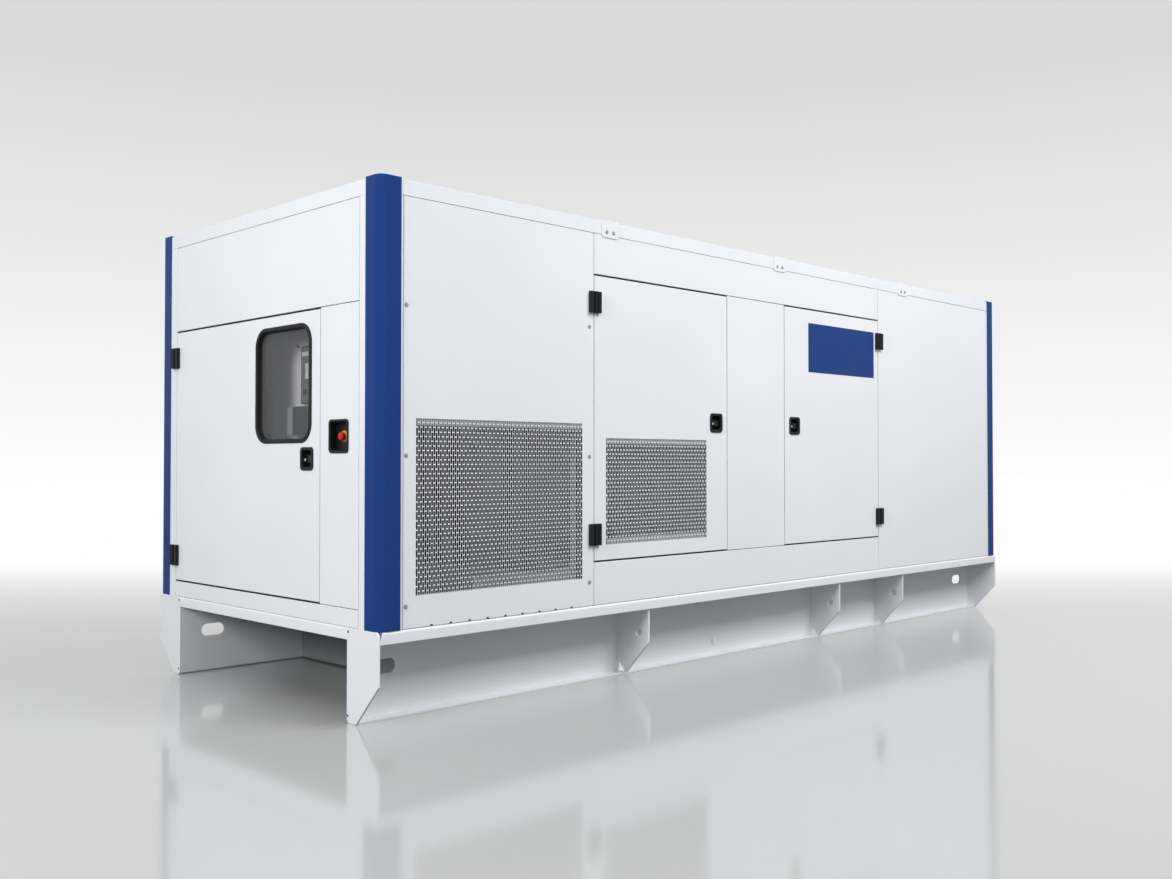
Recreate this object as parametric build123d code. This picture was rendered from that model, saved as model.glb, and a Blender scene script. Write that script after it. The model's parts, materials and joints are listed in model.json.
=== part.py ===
from build123d import *
import os

# Overall body, in millimetres: +X runs away from the control end, -Y is the long side with the doors.
LENGTH = 5320.0
WIDTH = 1928.0
HEIGHT = 2200.0
BASE_TOP = 386.0
SHEET = 4.0
SEAM = 3.0
SLIP = 0.3

# Skid base.
BASE_PLATE = 8.0
LIP_DROP = 50.0
FLANGE_REACH = 214.0
RAIL_BEND = 12.0
END_PLATE = 10.0
END_BEAM_DEPTH = 160.0
FOOT_CHAMFER = 156.0
CHAMFER_Z = 170.0
PLATE_FOOT_R = 20.0
PLATE_TOP_R = 24.0
GUSSET = 10.0
GUSSET_FROM_END = (1600.0, 3301.0, 4033.0)
GUSSET_TOE = 10.0
WELD_RELIEF = 12.0
GUSSET_CLIP_Z = 66.0
GUSSET_HOLE_R = 20.0
GUSSET_HOLE_INSET = 74.0
GUSSET_HOLE_Z = 215.0
DRAG_SLOT_INSET = 175.0
DRAG_SLOT_Z = 208.0
DRAG_SLOT_LENGTH = 122.0
DRAG_SLOT_HEIGHT = 61.0
TANK_INSET = 690.0
TANK_WALL = 6.0

# Corner trims and the frame behind the panels.
TRIM_LEG_X = 106.0
TRIM_LEG_Y = 100.0
TRIM_R = 38.0
TRIM_RISE = 6.0
TUBE = 60.0
TUBE_WALL = 5.0
CORNER_SEAM_X = 119.0
CORNER_SEAM_Y = 147.0
ROOF_RIM = 64.0
ROOF_JOINT_FROM_END = (1317.0, 2692.0, 4039.0)
CLAMP_WIDTH = 114.0
CLAMP_DROP = 76.0
CLAMP_REACH = 46.0
CLAMP_R = 14.0

# Lined panels.
PANEL = 40.0
PANEL_EDGE = 25.0
LINING_SETBACK = 6.0

# Long side, its panels counted from the seam at the control end.
DOOR_GAP = 6.0
DOOR_REVEAL = 8.0
INTAKE_PANEL_WIDTH = 1092.0
DOOR_1_WIDTH = 1007.0
MIDDLE_PANEL_WIDTH = 518.0
DOOR_2_WIDTH = 1001.0
SILL_HEIGHT = 202.0
HEADER_HEIGHT = 194.0
NAME_PLATE_WIDTH = 709.0
NAME_PLATE_HEIGHT = 284.0
NAME_PLATE_SIDE_GAP = 54.0
NAME_PLATE_TOP_GAP = 81.0
NAME_PLATE = 2.0

# Punched grilles, as wide slots in staggered columns.
INTAKE_LEFT_GAP = 63.0
INTAKE_RIGHT_GAP = 77.0
INTAKE_RISE = 129.0
INTAKE_HEIGHT = 724.0
DRAIN_COUNT = 9
DRAIN_PITCH = 100.0
DRAIN_INSET = 138.0
DRAIN_WIDTH = 14.0
DRAIN_HEIGHT = 9.0
DOOR_GRILLE_HINGE_GAP = 80.0
DOOR_GRILLE_LATCH_GAP = 175.0
DOOR_GRILLE_RISE = 76.0
DOOR_GRILLE_HEIGHT = 510.0
SLOT_WIDTH = 40.0
SLOT_HEIGHT = 130.0
SLOT_PITCH_X = 66.0
SLOT_PITCH_Z = 190.0

# Control end: door, window and stop button.
END_DOOR_HINGE_INSET = 162.0
END_DOOR_LATCH_INSET = 434.0
END_SILL_HEIGHT = 76.0
END_HEADER_HEIGHT = 424.0
WINDOW_WIDTH = 475.0
WINDOW_HEIGHT = 509.0
WINDOW_SIDE_GAP = 62.0
WINDOW_TOP_GAP = 67.0
WINDOW_R = 85.0
GASKET_FACE = 30.0
GASKET_LAP = 12.0
GASKET_PROUD = 8.0
GLASS = 6.0
GLASS_BITE = 8.0
STOP_INSET = 291.0
STOP_ABOVE_LATCH = 93.0
STOP_WIDTH = 144.0
STOP_HEIGHT = 140.0
STOP_DEPTH = 34.0
STOP_BUTTON_R = 19.0
STOP_STEM_R = 8.0
STOP_COLLAR_R = 30.0
STOP_TRAVEL = 5.0

# Hinges.
HINGE_HEIGHT = 101.0
HINGE_OUT = 12.0
HINGE_REACH = 34.0
HINGE_ROOT = 14.0
HINGE_PROUD = 6.0
HINGE_SHOULDER = 20.0
KNUCKLES = 3
KNUCKLE_R = 10.0
PIN_R = 4.0
KNUCKLE_GAP = 0.6
HINGE_LOW_INSET = 130.0
HINGE_HIGH_INSET = 134.0

# Latches.
LATCH_SIZE = 100.0
LATCH_POCKET = 82.0
LATCH_WALL = 6.0
LATCH_DEPTH = 32.0
LATCH_FLANGE = 5.0
LATCH_R = 18.0
LATCH_DISH_R = 12.0
DISH_FLARE = 4.0
DISH_TAPER = 4.0
KEY_R = 8.0
KEY_OFFSET = 20.0
KEY_DROP = 4.0
KEY_DEPTH = 6.0
LEVER_WIDTH = 34.0
LEVER_OFFSET = 11.0
LEVER_HEIGHT = 34.0
LEVER = 6.0
LEVER_PIVOT_DEPTH = 9.0
LEVER_PIVOT_RISE = 13.0
LEVER_PIN_R = 3.0
DOOR_LATCH_INSET = 96.0
DOOR_LATCH_RISE = 674.0
END_LATCH_INSET = 102.0
END_LATCH_DROP = 64.0

# Controls behind the window.
CABINET_INSET = 220.0
CABINET_DEPTH = 240.0
CABINET_LATCH_LAP = 92.0
CABINET_HINGE_LAP = 243.0
CABINET_TOP_GAP = 506.0
MODULE_INSET = 138.0
MODULE_WIDTH = 280.0
MODULE_HEIGHT = 268.0
MODULE_TOP_GAP = 36.0
MODULE_PROUD = 22.0
BREAKER_WIDTH = 330.0
BREAKER_HEIGHT = 132.0
BREAKER_GAP = 14.0
BREAKER_PROUD = 60.0

# Machinery behind the doors, counted from the control end.
SKID_INSET = 910.0
SKID_LENGTH = 3310.0
SKID_Y = 380.0
SKID_WIDTH = 120.0
SKID_HEIGHT = 110.0
SHAFT_RISE = 574.0
ALTERNATOR_INSET = 1100.0
ALTERNATOR_LENGTH = 998.0
ALTERNATOR_R = 330.0
FLANGE_GAP = 2.0
ENGINE_LENGTH = 1720.0
HOUSING_LENGTH = 190.0
HOUSING_R = 310.0
BLOCK_WIDTH = 460.0
CRANK_DROP = 180.0
BLOCK_RISE = 330.0
SUMP_WIDTH = 340.0
SUMP_DROP = 400.0
SUMP_LENGTH = 900.0
CYLINDERS = 6
HEAD_WIDTH = 300.0
HEAD_HEIGHT = 110.0
COVER_WIDTH = 220.0
COVER_HEIGHT = 70.0
COVER_GAP = 40.0
COVER_BEVEL = 24.0
MANIFOLD_R = 48.0
MANIFOLD_Y = 260.0
BRANCH_WIDTH = 70.0
BRANCH_HEIGHT = 60.0
FILTER_R = 55.0
FILTER_HEIGHT = 170.0
FILTER_PITCH = 130.0
PULLEY_LENGTH = 90.0
PULLEY_R = 150.0
FOOT_LENGTH = 120.0
FOOT_HEIGHT = 60.0
FOOT_INSET = 60.0
PEDESTAL_WIDTH = 330.0
FAN_SHAFT_R = 45.0
FAN_R = 500.0
FAN_HUB_R = 120.0
FAN_DEPTH = 90.0
FAN_BLADES = 8
BLADE_WIDTH = 150.0
BLADE = 5.0
BLADE_PITCH = 32.0
BELL_LENGTH = 170.0
BELL_R = 285.0
VENT_COUNT = 12
VENT_WIDTH = 60.0
VENT_DEPTH = 20.0
TERMINAL_BOX_WIDTH = 460.0
TERMINAL_BOX_HEIGHT = 260.0
TERMINAL_BOX_INSET = 120.0
RADIATOR_GAP = 600.0
RADIATOR_DEPTH = 140.0
RADIATOR_SIDE_GAP = 204.0
RADIATOR_TOP_GAP = 286.0
RADIATOR_FRAME = 60.0
SHROUD_DEPTH = 150.0
SHROUD = 4.0
SHROUD_SIDE_GAP = 90.0
FAN_TIP_GAP = 20.0
FAN_INSET = 30.0

HALF_X = LENGTH / 2
HALF_Y = WIDTH / 2
FACE_X = HALF_X - SHEET
FACE_Y = HALF_Y - SHEET
ROOF_SEAM_Z = HEIGHT - ROOF_RIM
UPRIGHT_SEAM_X = HALF_X - CORNER_SEAM_X
UPRIGHT_SEAM_Y = HALF_Y - CORNER_SEAM_Y
ROOF_JOINT_X = tuple(place - HALF_X for place in ROOF_JOINT_FROM_END)

RAIL_WEB_Y = HALF_Y - FLANGE_REACH
WEB_INNER_Y = RAIL_WEB_Y - BASE_PLATE
FOOT_OUTER_Y = HALF_Y - FOOT_CHAMFER
GUSSET_HOLE_Y = HALF_Y - GUSSET_HOLE_INSET
GUSSET_X = tuple(place - HALF_X for place in GUSSET_FROM_END)
DRAG_SLOT_X = HALF_X - DRAG_SLOT_INSET

DOOR_1_LOW_X = -UPRIGHT_SEAM_X + INTAKE_PANEL_WIDTH
DOOR_1_X = (DOOR_1_LOW_X, DOOR_1_LOW_X + DOOR_1_WIDTH)
DOOR_2_LOW_X = DOOR_1_X[1] + MIDDLE_PANEL_WIDTH
DOOR_2_X = (DOOR_2_LOW_X, DOOR_2_LOW_X + DOOR_2_WIDTH)
DOOR_Z = (BASE_TOP + SILL_HEIGHT, ROOF_SEAM_Z - HEADER_HEIGHT)
DOOR_1_LATCH_X = DOOR_1_X[1] - DOOR_LATCH_INSET
DOOR_2_LATCH_X = DOOR_2_X[0] + DOOR_LATCH_INSET
DOOR_LATCH_Z = DOOR_Z[0] + DOOR_LATCH_RISE
DOOR_HINGE_Z = (DOOR_Z[0] + HINGE_LOW_INSET, DOOR_Z[1] - HINGE_HIGH_INSET)
NAME_PLATE_HIGH_X = DOOR_2_X[1] - NAME_PLATE_SIDE_GAP
NAME_PLATE_X = (NAME_PLATE_HIGH_X - NAME_PLATE_WIDTH, NAME_PLATE_HIGH_X)
NAME_PLATE_HIGH_Z = DOOR_Z[1] - NAME_PLATE_TOP_GAP
NAME_PLATE_Z = (NAME_PLATE_HIGH_Z - NAME_PLATE_HEIGHT, NAME_PLATE_HIGH_Z)
INTAKE_X = (-UPRIGHT_SEAM_X + INTAKE_LEFT_GAP, DOOR_1_X[0] - INTAKE_RIGHT_GAP)
INTAKE_Z = (BASE_TOP + INTAKE_RISE, BASE_TOP + INTAKE_RISE + INTAKE_HEIGHT)
DOOR_GRILLE_X = (DOOR_1_X[0] + DOOR_GRILLE_HINGE_GAP, DOOR_1_X[1] - DOOR_GRILLE_LATCH_GAP)
DOOR_GRILLE_LOW_Z = DOOR_Z[0] + DOOR_GRILLE_RISE
DOOR_GRILLE_Z = (DOOR_GRILLE_LOW_Z, DOOR_GRILLE_LOW_Z + DOOR_GRILLE_HEIGHT)

# Places on the control end, seen from outside, where u grows to the right.
END_DOOR_U = (-HALF_Y + END_DOOR_HINGE_INSET, HALF_Y - END_DOOR_LATCH_INSET)
END_DOOR_Z = (BASE_TOP + END_SILL_HEIGHT, ROOF_SEAM_Z - END_HEADER_HEIGHT)
WINDOW_HIGH_U = END_DOOR_U[1] - WINDOW_SIDE_GAP
WINDOW_U = (WINDOW_HIGH_U - WINDOW_WIDTH, WINDOW_HIGH_U)
WINDOW_HIGH_Z = END_DOOR_Z[1] - WINDOW_TOP_GAP
WINDOW_Z = (WINDOW_HIGH_Z - WINDOW_HEIGHT, WINDOW_HIGH_Z)
END_LATCH_U = END_DOOR_U[1] - END_LATCH_INSET
END_LATCH_Z = WINDOW_Z[0] - END_LATCH_DROP
END_HINGE_Z = (END_DOOR_Z[0] + HINGE_LOW_INSET, END_DOOR_Z[1] - HINGE_HIGH_INSET)
STOP_U = HALF_Y - STOP_INSET
STOP_Z = END_LATCH_Z + STOP_ABOVE_LATCH

CABINET_X = (-HALF_X + CABINET_INSET, -HALF_X + CABINET_INSET + CABINET_DEPTH)
CABINET_Y = (-WINDOW_U[1] - CABINET_LATCH_LAP, -WINDOW_U[0] + CABINET_HINGE_LAP)
CABINET_TOP = ROOF_SEAM_Z - CABINET_TOP_GAP
MODULE_LOW_Y = -WINDOW_U[1] + MODULE_INSET
MODULE_Y = (MODULE_LOW_Y, MODULE_LOW_Y + MODULE_WIDTH)
MODULE_HIGH_Z = CABINET_TOP - MODULE_TOP_GAP
MODULE_Z = (MODULE_HIGH_Z - MODULE_HEIGHT, MODULE_HIGH_Z)
BREAKER_Y = (MODULE_LOW_Y, MODULE_LOW_Y + BREAKER_WIDTH)
BREAKER_HIGH_Z = MODULE_Z[0] - BREAKER_GAP
BREAKER_Z = (BREAKER_HIGH_Z - BREAKER_HEIGHT, BREAKER_HIGH_Z)

SKID_X = (-HALF_X + SKID_INSET, -HALF_X + SKID_INSET + SKID_LENGTH)
SKID_TOP = BASE_TOP + SKID_HEIGHT
SHAFT_Z = BASE_TOP + SHAFT_RISE
ALTERNATOR_LOW_X = -HALF_X + ALTERNATOR_INSET
ALTERNATOR_X = (ALTERNATOR_LOW_X, ALTERNATOR_LOW_X + ALTERNATOR_LENGTH)
ENGINE_LOW_X = ALTERNATOR_X[1] + FLANGE_GAP
ENGINE_X = (ENGINE_LOW_X, ENGINE_LOW_X + ENGINE_LENGTH)
RADIATOR_LOW_X = ENGINE_X[1] + RADIATOR_GAP
RADIATOR_X = (RADIATOR_LOW_X, RADIATOR_LOW_X + RADIATOR_DEPTH)
RADIATOR_HALF_WIDTH = HALF_Y - RADIATOR_SIDE_GAP
RADIATOR_TOP = ROOF_SEAM_Z - RADIATOR_TOP_GAP
FAN_LOW_X = RADIATOR_X[0] - SHROUD_DEPTH + FAN_INSET
FAN_X = (FAN_LOW_X, FAN_LOW_X + FAN_DEPTH)

# Turns that take a wall drawn as the long side to the two ends.
TO_CONTROL_END = Rot(0, 0, -90)
TO_FAR_END = Rot(0, 0, 90)


def block(x_span, y_span, z_span):
    """Return the box between three pairs of low and high coordinates."""
    centre = [(low + high) / 2 for low, high in (x_span, y_span, z_span)]
    size = [high - low for low, high in (x_span, y_span, z_span)]
    return Pos(*centre) * Box(*size)


def mirrored_x(shapes):
    """Return the shapes with their mirror images at the far end."""
    return shapes + [mirror(shape, about=Plane.YZ) for shape in shapes]


def mirrored_y(shapes):
    """Return the shapes with their mirror images on the other long side."""
    return shapes + [mirror(shape, about=Plane.XZ) for shape in shapes]


def rear(shapes):
    """Return the mirror images of front pieces on the other long side."""
    return [mirror(shape, about=Plane.XZ) for shape in shapes]


def save(name, shapes):
    """Write the solids of one piece, or of one set of like pieces, to its own file."""
    solids = [solid for shape in shapes for solid in shape.solids()]
    export_step(solids[0] if len(solids) == 1 else Compound(children=solids), f"parts/{name}.step")


def upright_prism(points, low, high):
    """Return the prism over a closed outline in plan, between two heights."""
    outline = make_face(Polyline(*points, close=True))
    return extrude(Plane.XY.offset(low) * outline, high - low)


def cross_section(points, x_low, x_high):
    """Return the bar along X whose section is given as (y, z) points."""
    outline = make_face(Polyline(*points, close=True))
    return extrude(Plane.YZ.offset(x_low) * outline, x_high - x_low)


def face_plane(u, z, face):
    """Return the plane on a wall's outer face at (u, z), looking outwards."""
    return Plane(origin=(u, -face, z), x_dir=(1, 0, 0), z_dir=(0, -1, 0))


def wall_block(u_span, z_span, face, depth_span):
    """Return a box set into a wall between two depths behind its outer face."""
    return block(u_span, (-face + depth_span[0], -face + depth_span[1]), z_span)


def grown(span, margin):
    """Return a span with the margin added at both ends."""
    return (span[0] - margin, span[1] + margin)


# Skid base

def folded_bar(path, sheet, bend, x_low, x_high):
    """Return the bar along X that is folded from sheet on the left of a path of (y, z) points."""
    line = FilletPolyline(*path, radius=bend)
    section = make_face(offset(line, amount=sheet, side=Side.LEFT, closed=True))
    return extrude(Plane.YZ.offset(x_low) * section, x_high - x_low)


def rail():
    """Return the front side rail: foot, web, top flange and lip folded from one sheet."""
    path = (
        (-FOOT_OUTER_Y, 0),
        (-WEB_INNER_Y, 0),
        (-WEB_INNER_Y, BASE_TOP),
        (-HALF_Y, BASE_TOP),
        (-HALF_Y, BASE_TOP - LIP_DROP),
    )
    half_length = HALF_X - END_PLATE
    bar = folded_bar(path, BASE_PLATE, RAIL_BEND, -half_length, half_length)
    slot = SlotOverall(DRAG_SLOT_LENGTH, DRAG_SLOT_HEIGHT)
    for x in (-DRAG_SLOT_X, DRAG_SLOT_X):
        bar -= extrude(face_plane(x, DRAG_SLOT_Z, RAIL_WEB_Y) * slot, -BASE_PLATE)
    return bar


def gusset(x):
    """Return one plate that stands outside the web, between the foot and the top flange."""
    outer = HALF_Y - BASE_PLATE
    section = (
        (-RAIL_WEB_Y, GUSSET_CLIP_Z),
        (-FOOT_OUTER_Y + GUSSET_TOE, BASE_PLATE),
        (-FOOT_OUTER_Y, BASE_PLATE),
        (-outer, CHAMFER_Z),
        (-outer, BASE_TOP - BASE_PLATE),
        (-RAIL_WEB_Y, BASE_TOP - BASE_PLATE),
    )
    plate = cross_section(section, x - GUSSET / 2, x + GUSSET / 2)
    hole = Plane.YZ.offset(x - GUSSET / 2) * Pos(-GUSSET_HOLE_Y, GUSSET_HOLE_Z) * Circle(GUSSET_HOLE_R)
    plate -= extrude(hole, GUSSET)
    return chamfer(plate.edges().filter_by(Axis.X).group_by(Axis.Z)[-1], WELD_RELIEF)


def end_plate():
    """Return the shaped plate that closes the front rail at the control end."""
    section = (
        (-WEB_INNER_Y, 0),
        (-FOOT_OUTER_Y, 0),
        (-HALF_Y, CHAMFER_Z),
        (-HALF_Y, BASE_TOP),
        (-WEB_INNER_Y, BASE_TOP),
    )
    plate = cross_section(section, -HALF_X, -HALF_X + END_PLATE)
    across = plate.edges().filter_by(Axis.X)
    plate = fillet(across.group_by(Axis.Z)[0], PLATE_FOOT_R)
    top_outer = plate.edges().filter_by(Axis.X).group_by(Axis.Z)[-1].sort_by(Axis.Y)[0]
    return fillet(top_outer, PLATE_TOP_R)


def end_beam():
    """Return the folded beam across the control end: a flange and a lip."""
    across = (-WEB_INNER_Y, WEB_INNER_Y)
    flange = block((-HALF_X, -HALF_X + END_BEAM_DEPTH), across, (BASE_TOP - BASE_PLATE, BASE_TOP))
    lip = block((-HALF_X, -HALF_X + END_PLATE), across, (BASE_TOP - LIP_DROP, BASE_TOP))
    beam = flange + lip
    return fillet(beam.edges().filter_by(Axis.Y).group_by(Axis.Z)[-1].sort_by(Axis.X)[0], BASE_PLATE)


def deck():
    """Return the floor plate between the rails and the end beams."""
    half_length = HALF_X - END_BEAM_DEPTH
    across = (-WEB_INNER_Y, WEB_INNER_Y)
    return block((-half_length, half_length), across, (BASE_TOP - BASE_PLATE, BASE_TOP))


def fuel_tank():
    """Return the open pan between the rails, which the deck closes."""
    half_length = HALF_X - TANK_INSET
    top = BASE_TOP - BASE_PLATE
    outer = block((-half_length, half_length), (-WEB_INNER_Y, WEB_INNER_Y), (BASE_PLATE, top))
    inner_half_length = half_length - TANK_WALL
    inner_half_width = WEB_INNER_Y - TANK_WALL
    inner = block(
        (-inner_half_length, inner_half_length),
        (-inner_half_width, inner_half_width),
        (BASE_PLATE + TANK_WALL, top),
    )
    return outer - inner


# Frame

def tube_upright(u, face):
    """Return one square tube behind a wall's panels, its low u side at u."""
    z_span = (BASE_TOP, ROOF_SEAM_Z)
    outer = wall_block((u, u + TUBE), z_span, face, (PANEL, PANEL + TUBE))
    inner_depth = (PANEL + TUBE_WALL, PANEL + TUBE - TUBE_WALL)
    return outer - wall_block((u + TUBE_WALL, u + TUBE - TUBE_WALL), z_span, face, inner_depth)


def corner_upright(seam_y):
    """Return the folded upright of the front corner at the control end."""
    x_span = (-FACE_X, -UPRIGHT_SEAM_X - SEAM / 2)
    y_span = (-FACE_Y, -seam_y - SEAM / 2)
    outer = block(x_span, y_span, (BASE_TOP, ROOF_SEAM_Z))
    inner = block(grown(x_span, -TUBE_WALL), grown(y_span, -TUBE_WALL), (BASE_TOP, ROOF_SEAM_Z))
    outer = fillet(front_corner_edge(outer), TRIM_R - SHEET)
    return outer - fillet(front_corner_edge(inner), TRIM_R - SHEET - TUBE_WALL)


def front_corner_edge(shape):
    """Return the upright edge nearest to the front corner at the control end."""
    return shape.edges().filter_by(Axis.Z).sort_by(lambda edge: edge.center().X + edge.center().Y)[0]


def body_corner_edges(shape):
    """Return the upright edges that lie near the four corners of the body."""
    upright = shape.edges().filter_by(Axis.Z)
    return [
        edge
        for edge in upright
        if abs(edge.center().X) > FACE_X - 2 * SHEET and abs(edge.center().Y) > FACE_Y - 2 * SHEET
    ]


def roof_frame():
    """Return the tubes that carry the roof: two long rails and five cross beams."""
    z_span = (ROOF_SEAM_Z, HEIGHT - SHEET)
    inner_x = FACE_X - SHEET
    inner_y = FACE_Y - SHEET
    rail_bar = block((-inner_x, inner_x), (-inner_y, -inner_y + TUBE), z_span)
    rails = mirrored_y([fillet(body_corner_edges(rail_bar), TRIM_R - 2 * SHEET)])
    beam_y = grown((-inner_y + TUBE, inner_y - TUBE), -SLIP)
    beam_x = [-inner_x + TUBE / 2, *ROOF_JOINT_X, inner_x - TUBE / 2]
    return rails + [block((x - TUBE / 2, x + TUBE / 2), beam_y, z_span) for x in beam_x]


def corner_trim():
    """Return the rounded angle that covers the front corner at the control end."""
    angle = Polyline(
        (0, 0), (TRIM_LEG_X, 0), (TRIM_LEG_X, SHEET), (SHEET, SHEET), (SHEET, TRIM_LEG_Y), (0, TRIM_LEG_Y),
        close=True,
    )
    angle = make_face(angle)
    outer_corner = angle.vertices().sort_by_distance((0, 0))[0]
    angle = fillet(outer_corner, TRIM_R)
    inner_corner = angle.vertices().sort_by_distance((SHEET, SHEET))[0]
    angle = fillet(inner_corner, TRIM_R - SHEET)
    cap = make_face(Polyline((0, 0), (TRIM_LEG_X, 0), (TRIM_LEG_X, TRIM_LEG_Y), (0, TRIM_LEG_Y), close=True))
    cap = fillet(cap.vertices().sort_by_distance((0, 0))[0], TRIM_R)
    top = HEIGHT + TRIM_RISE
    wall = extrude(Plane.XY.offset(BASE_TOP) * angle, top - BASE_TOP)
    lid = extrude(Plane.XY.offset(HEIGHT) * cap, TRIM_RISE)
    return Pos(-HALF_X, -HALF_Y, 0) * (wall + lid)


def roof_section(x_low, x_high):
    """Return one roof pan: a flat sheet with its rims folded down on its outer sides."""
    outer = block((x_low, x_high), (-FACE_Y, FACE_Y), (ROOF_SEAM_Z, HEIGHT))
    inner_x = (
        x_low + SHEET if x_low == -FACE_X else x_low,
        x_high - SHEET if x_high == FACE_X else x_high,
    )
    inner = block(inner_x, grown((-FACE_Y, FACE_Y), -SHEET), (ROOF_SEAM_Z, HEIGHT - SHEET))
    if body_corner_edges(outer):
        outer = fillet(body_corner_edges(outer), TRIM_R - SHEET)
        inner = fillet(body_corner_edges(inner), TRIM_R - 2 * SHEET)
    return outer - inner


def roof_sections():
    """Return the four roof pans, parted at the roof joints."""
    ends = [-FACE_X, *ROOF_JOINT_X, FACE_X]
    sections = []
    for low, high in zip(ends, ends[1:]):
        x_low = low if low == -FACE_X else low + SEAM / 2
        x_high = high if high == FACE_X else high - SEAM / 2
        sections.append(roof_section(x_low, x_high))
    return sections


def roof_clamp(x):
    """Return the folded strap that holds a roof joint at the front edge."""
    section = (
        (-FACE_Y, HEIGHT),
        (-FACE_Y, HEIGHT - CLAMP_DROP),
        (-HALF_Y, HEIGHT - CLAMP_DROP),
        (-HALF_Y, HEIGHT + SHEET),
        (-HALF_Y + CLAMP_REACH, HEIGHT + SHEET),
        (-HALF_Y + CLAMP_REACH, HEIGHT),
    )
    strap = cross_section(section, x - CLAMP_WIDTH / 2, x + CLAMP_WIDTH / 2)
    lower = [edge for edge in strap.edges().filter_by(Axis.Y) if edge.center().Z < HEIGHT - ROOF_RIM / 2]
    return fillet(lower, CLAMP_R)


# Lined panels

def panel(u_span, z_span, face):
    """Return one wall panel, its lining set back inside the folded edge."""
    slab = wall_block(u_span, z_span, face, (0, PANEL))
    lining = wall_block(
        grown(u_span, -PANEL_EDGE), grown(z_span, -PANEL_EDGE), face, (PANEL - LINING_SETBACK, PANEL)
    )
    return slab - lining


def fixed_panel(u_span, z_span, face):
    """Return a panel that keeps half a seam on each side."""
    return panel(grown(u_span, -SEAM / 2), grown(z_span, -SEAM / 2), face)


def door_leaf(u_span, z_span, face):
    """Return a door with half a door gap at its sides and a wider reveal above and below."""
    height = grown(z_span, SEAM / 2 - DOOR_REVEAL)
    return panel(grown(u_span, -DOOR_GAP / 2), height, face)


def slot_places(u_span, z_span):
    """Return the slot centres of a grille, every second column shifted by half a pitch."""
    columns = int((u_span[1] - u_span[0] - SLOT_WIDTH) // SLOT_PITCH_X) + 1
    first_u = (sum(u_span) - (columns - 1) * SLOT_PITCH_X) / 2
    places = []
    for column in range(columns):
        shift = SLOT_PITCH_Z / 2 if column % 2 else 0
        room = z_span[1] - z_span[0] - shift - SLOT_HEIGHT
        rows = int(room // SLOT_PITCH_Z) + 1
        first_z = z_span[1] - SLOT_HEIGHT / 2 - shift
        u = first_u + column * SLOT_PITCH_X
        places += [(u, first_z - row * SLOT_PITCH_Z) for row in range(rows)]
    return places


def punched(sheet, u_span, z_span, face):
    """Return a panel with the lining cut out behind a grille and the slots punched through its skin."""
    window = wall_block(u_span, z_span, face, (SHEET, PANEL))
    slots = []
    for u, z in slot_places(u_span, z_span):
        slot_u = (u - SLOT_WIDTH / 2, u + SLOT_WIDTH / 2)
        slot_z = (z - SLOT_HEIGHT / 2, z + SLOT_HEIGHT / 2)
        slots.append(wall_block(slot_u, slot_z, face, (0, SHEET)))
    return sheet - [window, *slots]


def drain_notches(face):
    """Return the cuts through the skin that drain the lower edge of the intake panel."""
    first_x = -UPRIGHT_SEAM_X + DRAIN_INSET
    lows = [first_x + DRAIN_PITCH * step for step in range(DRAIN_COUNT)]
    height = (BASE_TOP, BASE_TOP + DRAIN_HEIGHT)
    return [wall_block((low, low + DRAIN_WIDTH), height, face, (0, SHEET)) for low in lows]


def pocket_cut(u, z, size_u, size_z, face):
    """Return the square cut through a panel for a recessed housing."""
    u_span = (u - size_u / 2 - SLIP, u + size_u / 2 + SLIP)
    z_span = (z - size_z / 2 - SLIP, z + size_z / 2 + SLIP)
    return wall_block(u_span, z_span, face, (0, PANEL))


def rounded(width, height, radius):
    """Return a rectangle with round corners."""
    return RectangleRounded(width, height, radius)


# Hinges, drawn about their pin: u to the right, door on the +u side

def hinge_leaf(side, z_low, z_high, knuckles, bore_r):
    """Return one leaf with its knuckles, on the side given by the sign."""
    profile = (
        (side * HINGE_ROOT, HINGE_OUT),
        (side * HINGE_REACH, HINGE_OUT),
        (side * HINGE_REACH, -HINGE_PROUD),
        (side * HINGE_SHOULDER, -HINGE_PROUD),
        (side * HINGE_ROOT, -PIN_R),
    )
    leaf = upright_prism(profile, z_low, z_high)
    for low, high in knuckles:
        root = sorted((0, side * HINGE_ROOT))
        web = block(root, (PIN_R, HINGE_OUT), (low, high))
        barrel = extrude(Plane.XY.offset(low) * Circle(KNUCKLE_R), high - low)
        leaf = leaf + web + barrel
        if bore_r:
            leaf -= extrude(Plane.XY.offset(low) * Circle(bore_r), high - low)
    return leaf


def knuckle_spans(z_low, z_high):
    """Return the heights of the lower, middle and upper knuckle."""
    length = (z_high - z_low) / KNUCKLES
    lows = [z_low + length * step for step in range(KNUCKLES)]
    return [grown((low, low + length), -KNUCKLE_GAP / 2) for low in lows]


def hinge(u, z, face, side):
    """Return the frame half, with its pin, and the door half of a hinge at a seam."""
    z_low = z - HINGE_HEIGHT / 2
    z_high = z + HINGE_HEIGHT / 2
    lower, middle, upper = knuckle_spans(z_low, z_high)
    pin = extrude(Plane.XY.offset(z_low) * Circle(PIN_R), HINGE_HEIGHT)
    frame_half = hinge_leaf(-side, z_low, z_high, [middle], 0) + pin
    door_half = hinge_leaf(side, z_low, z_high, [lower, upper], PIN_R + SLIP)
    place = Pos(u, -face - HINGE_OUT, 0)
    return place * frame_half, place * door_half


# Latches

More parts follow.
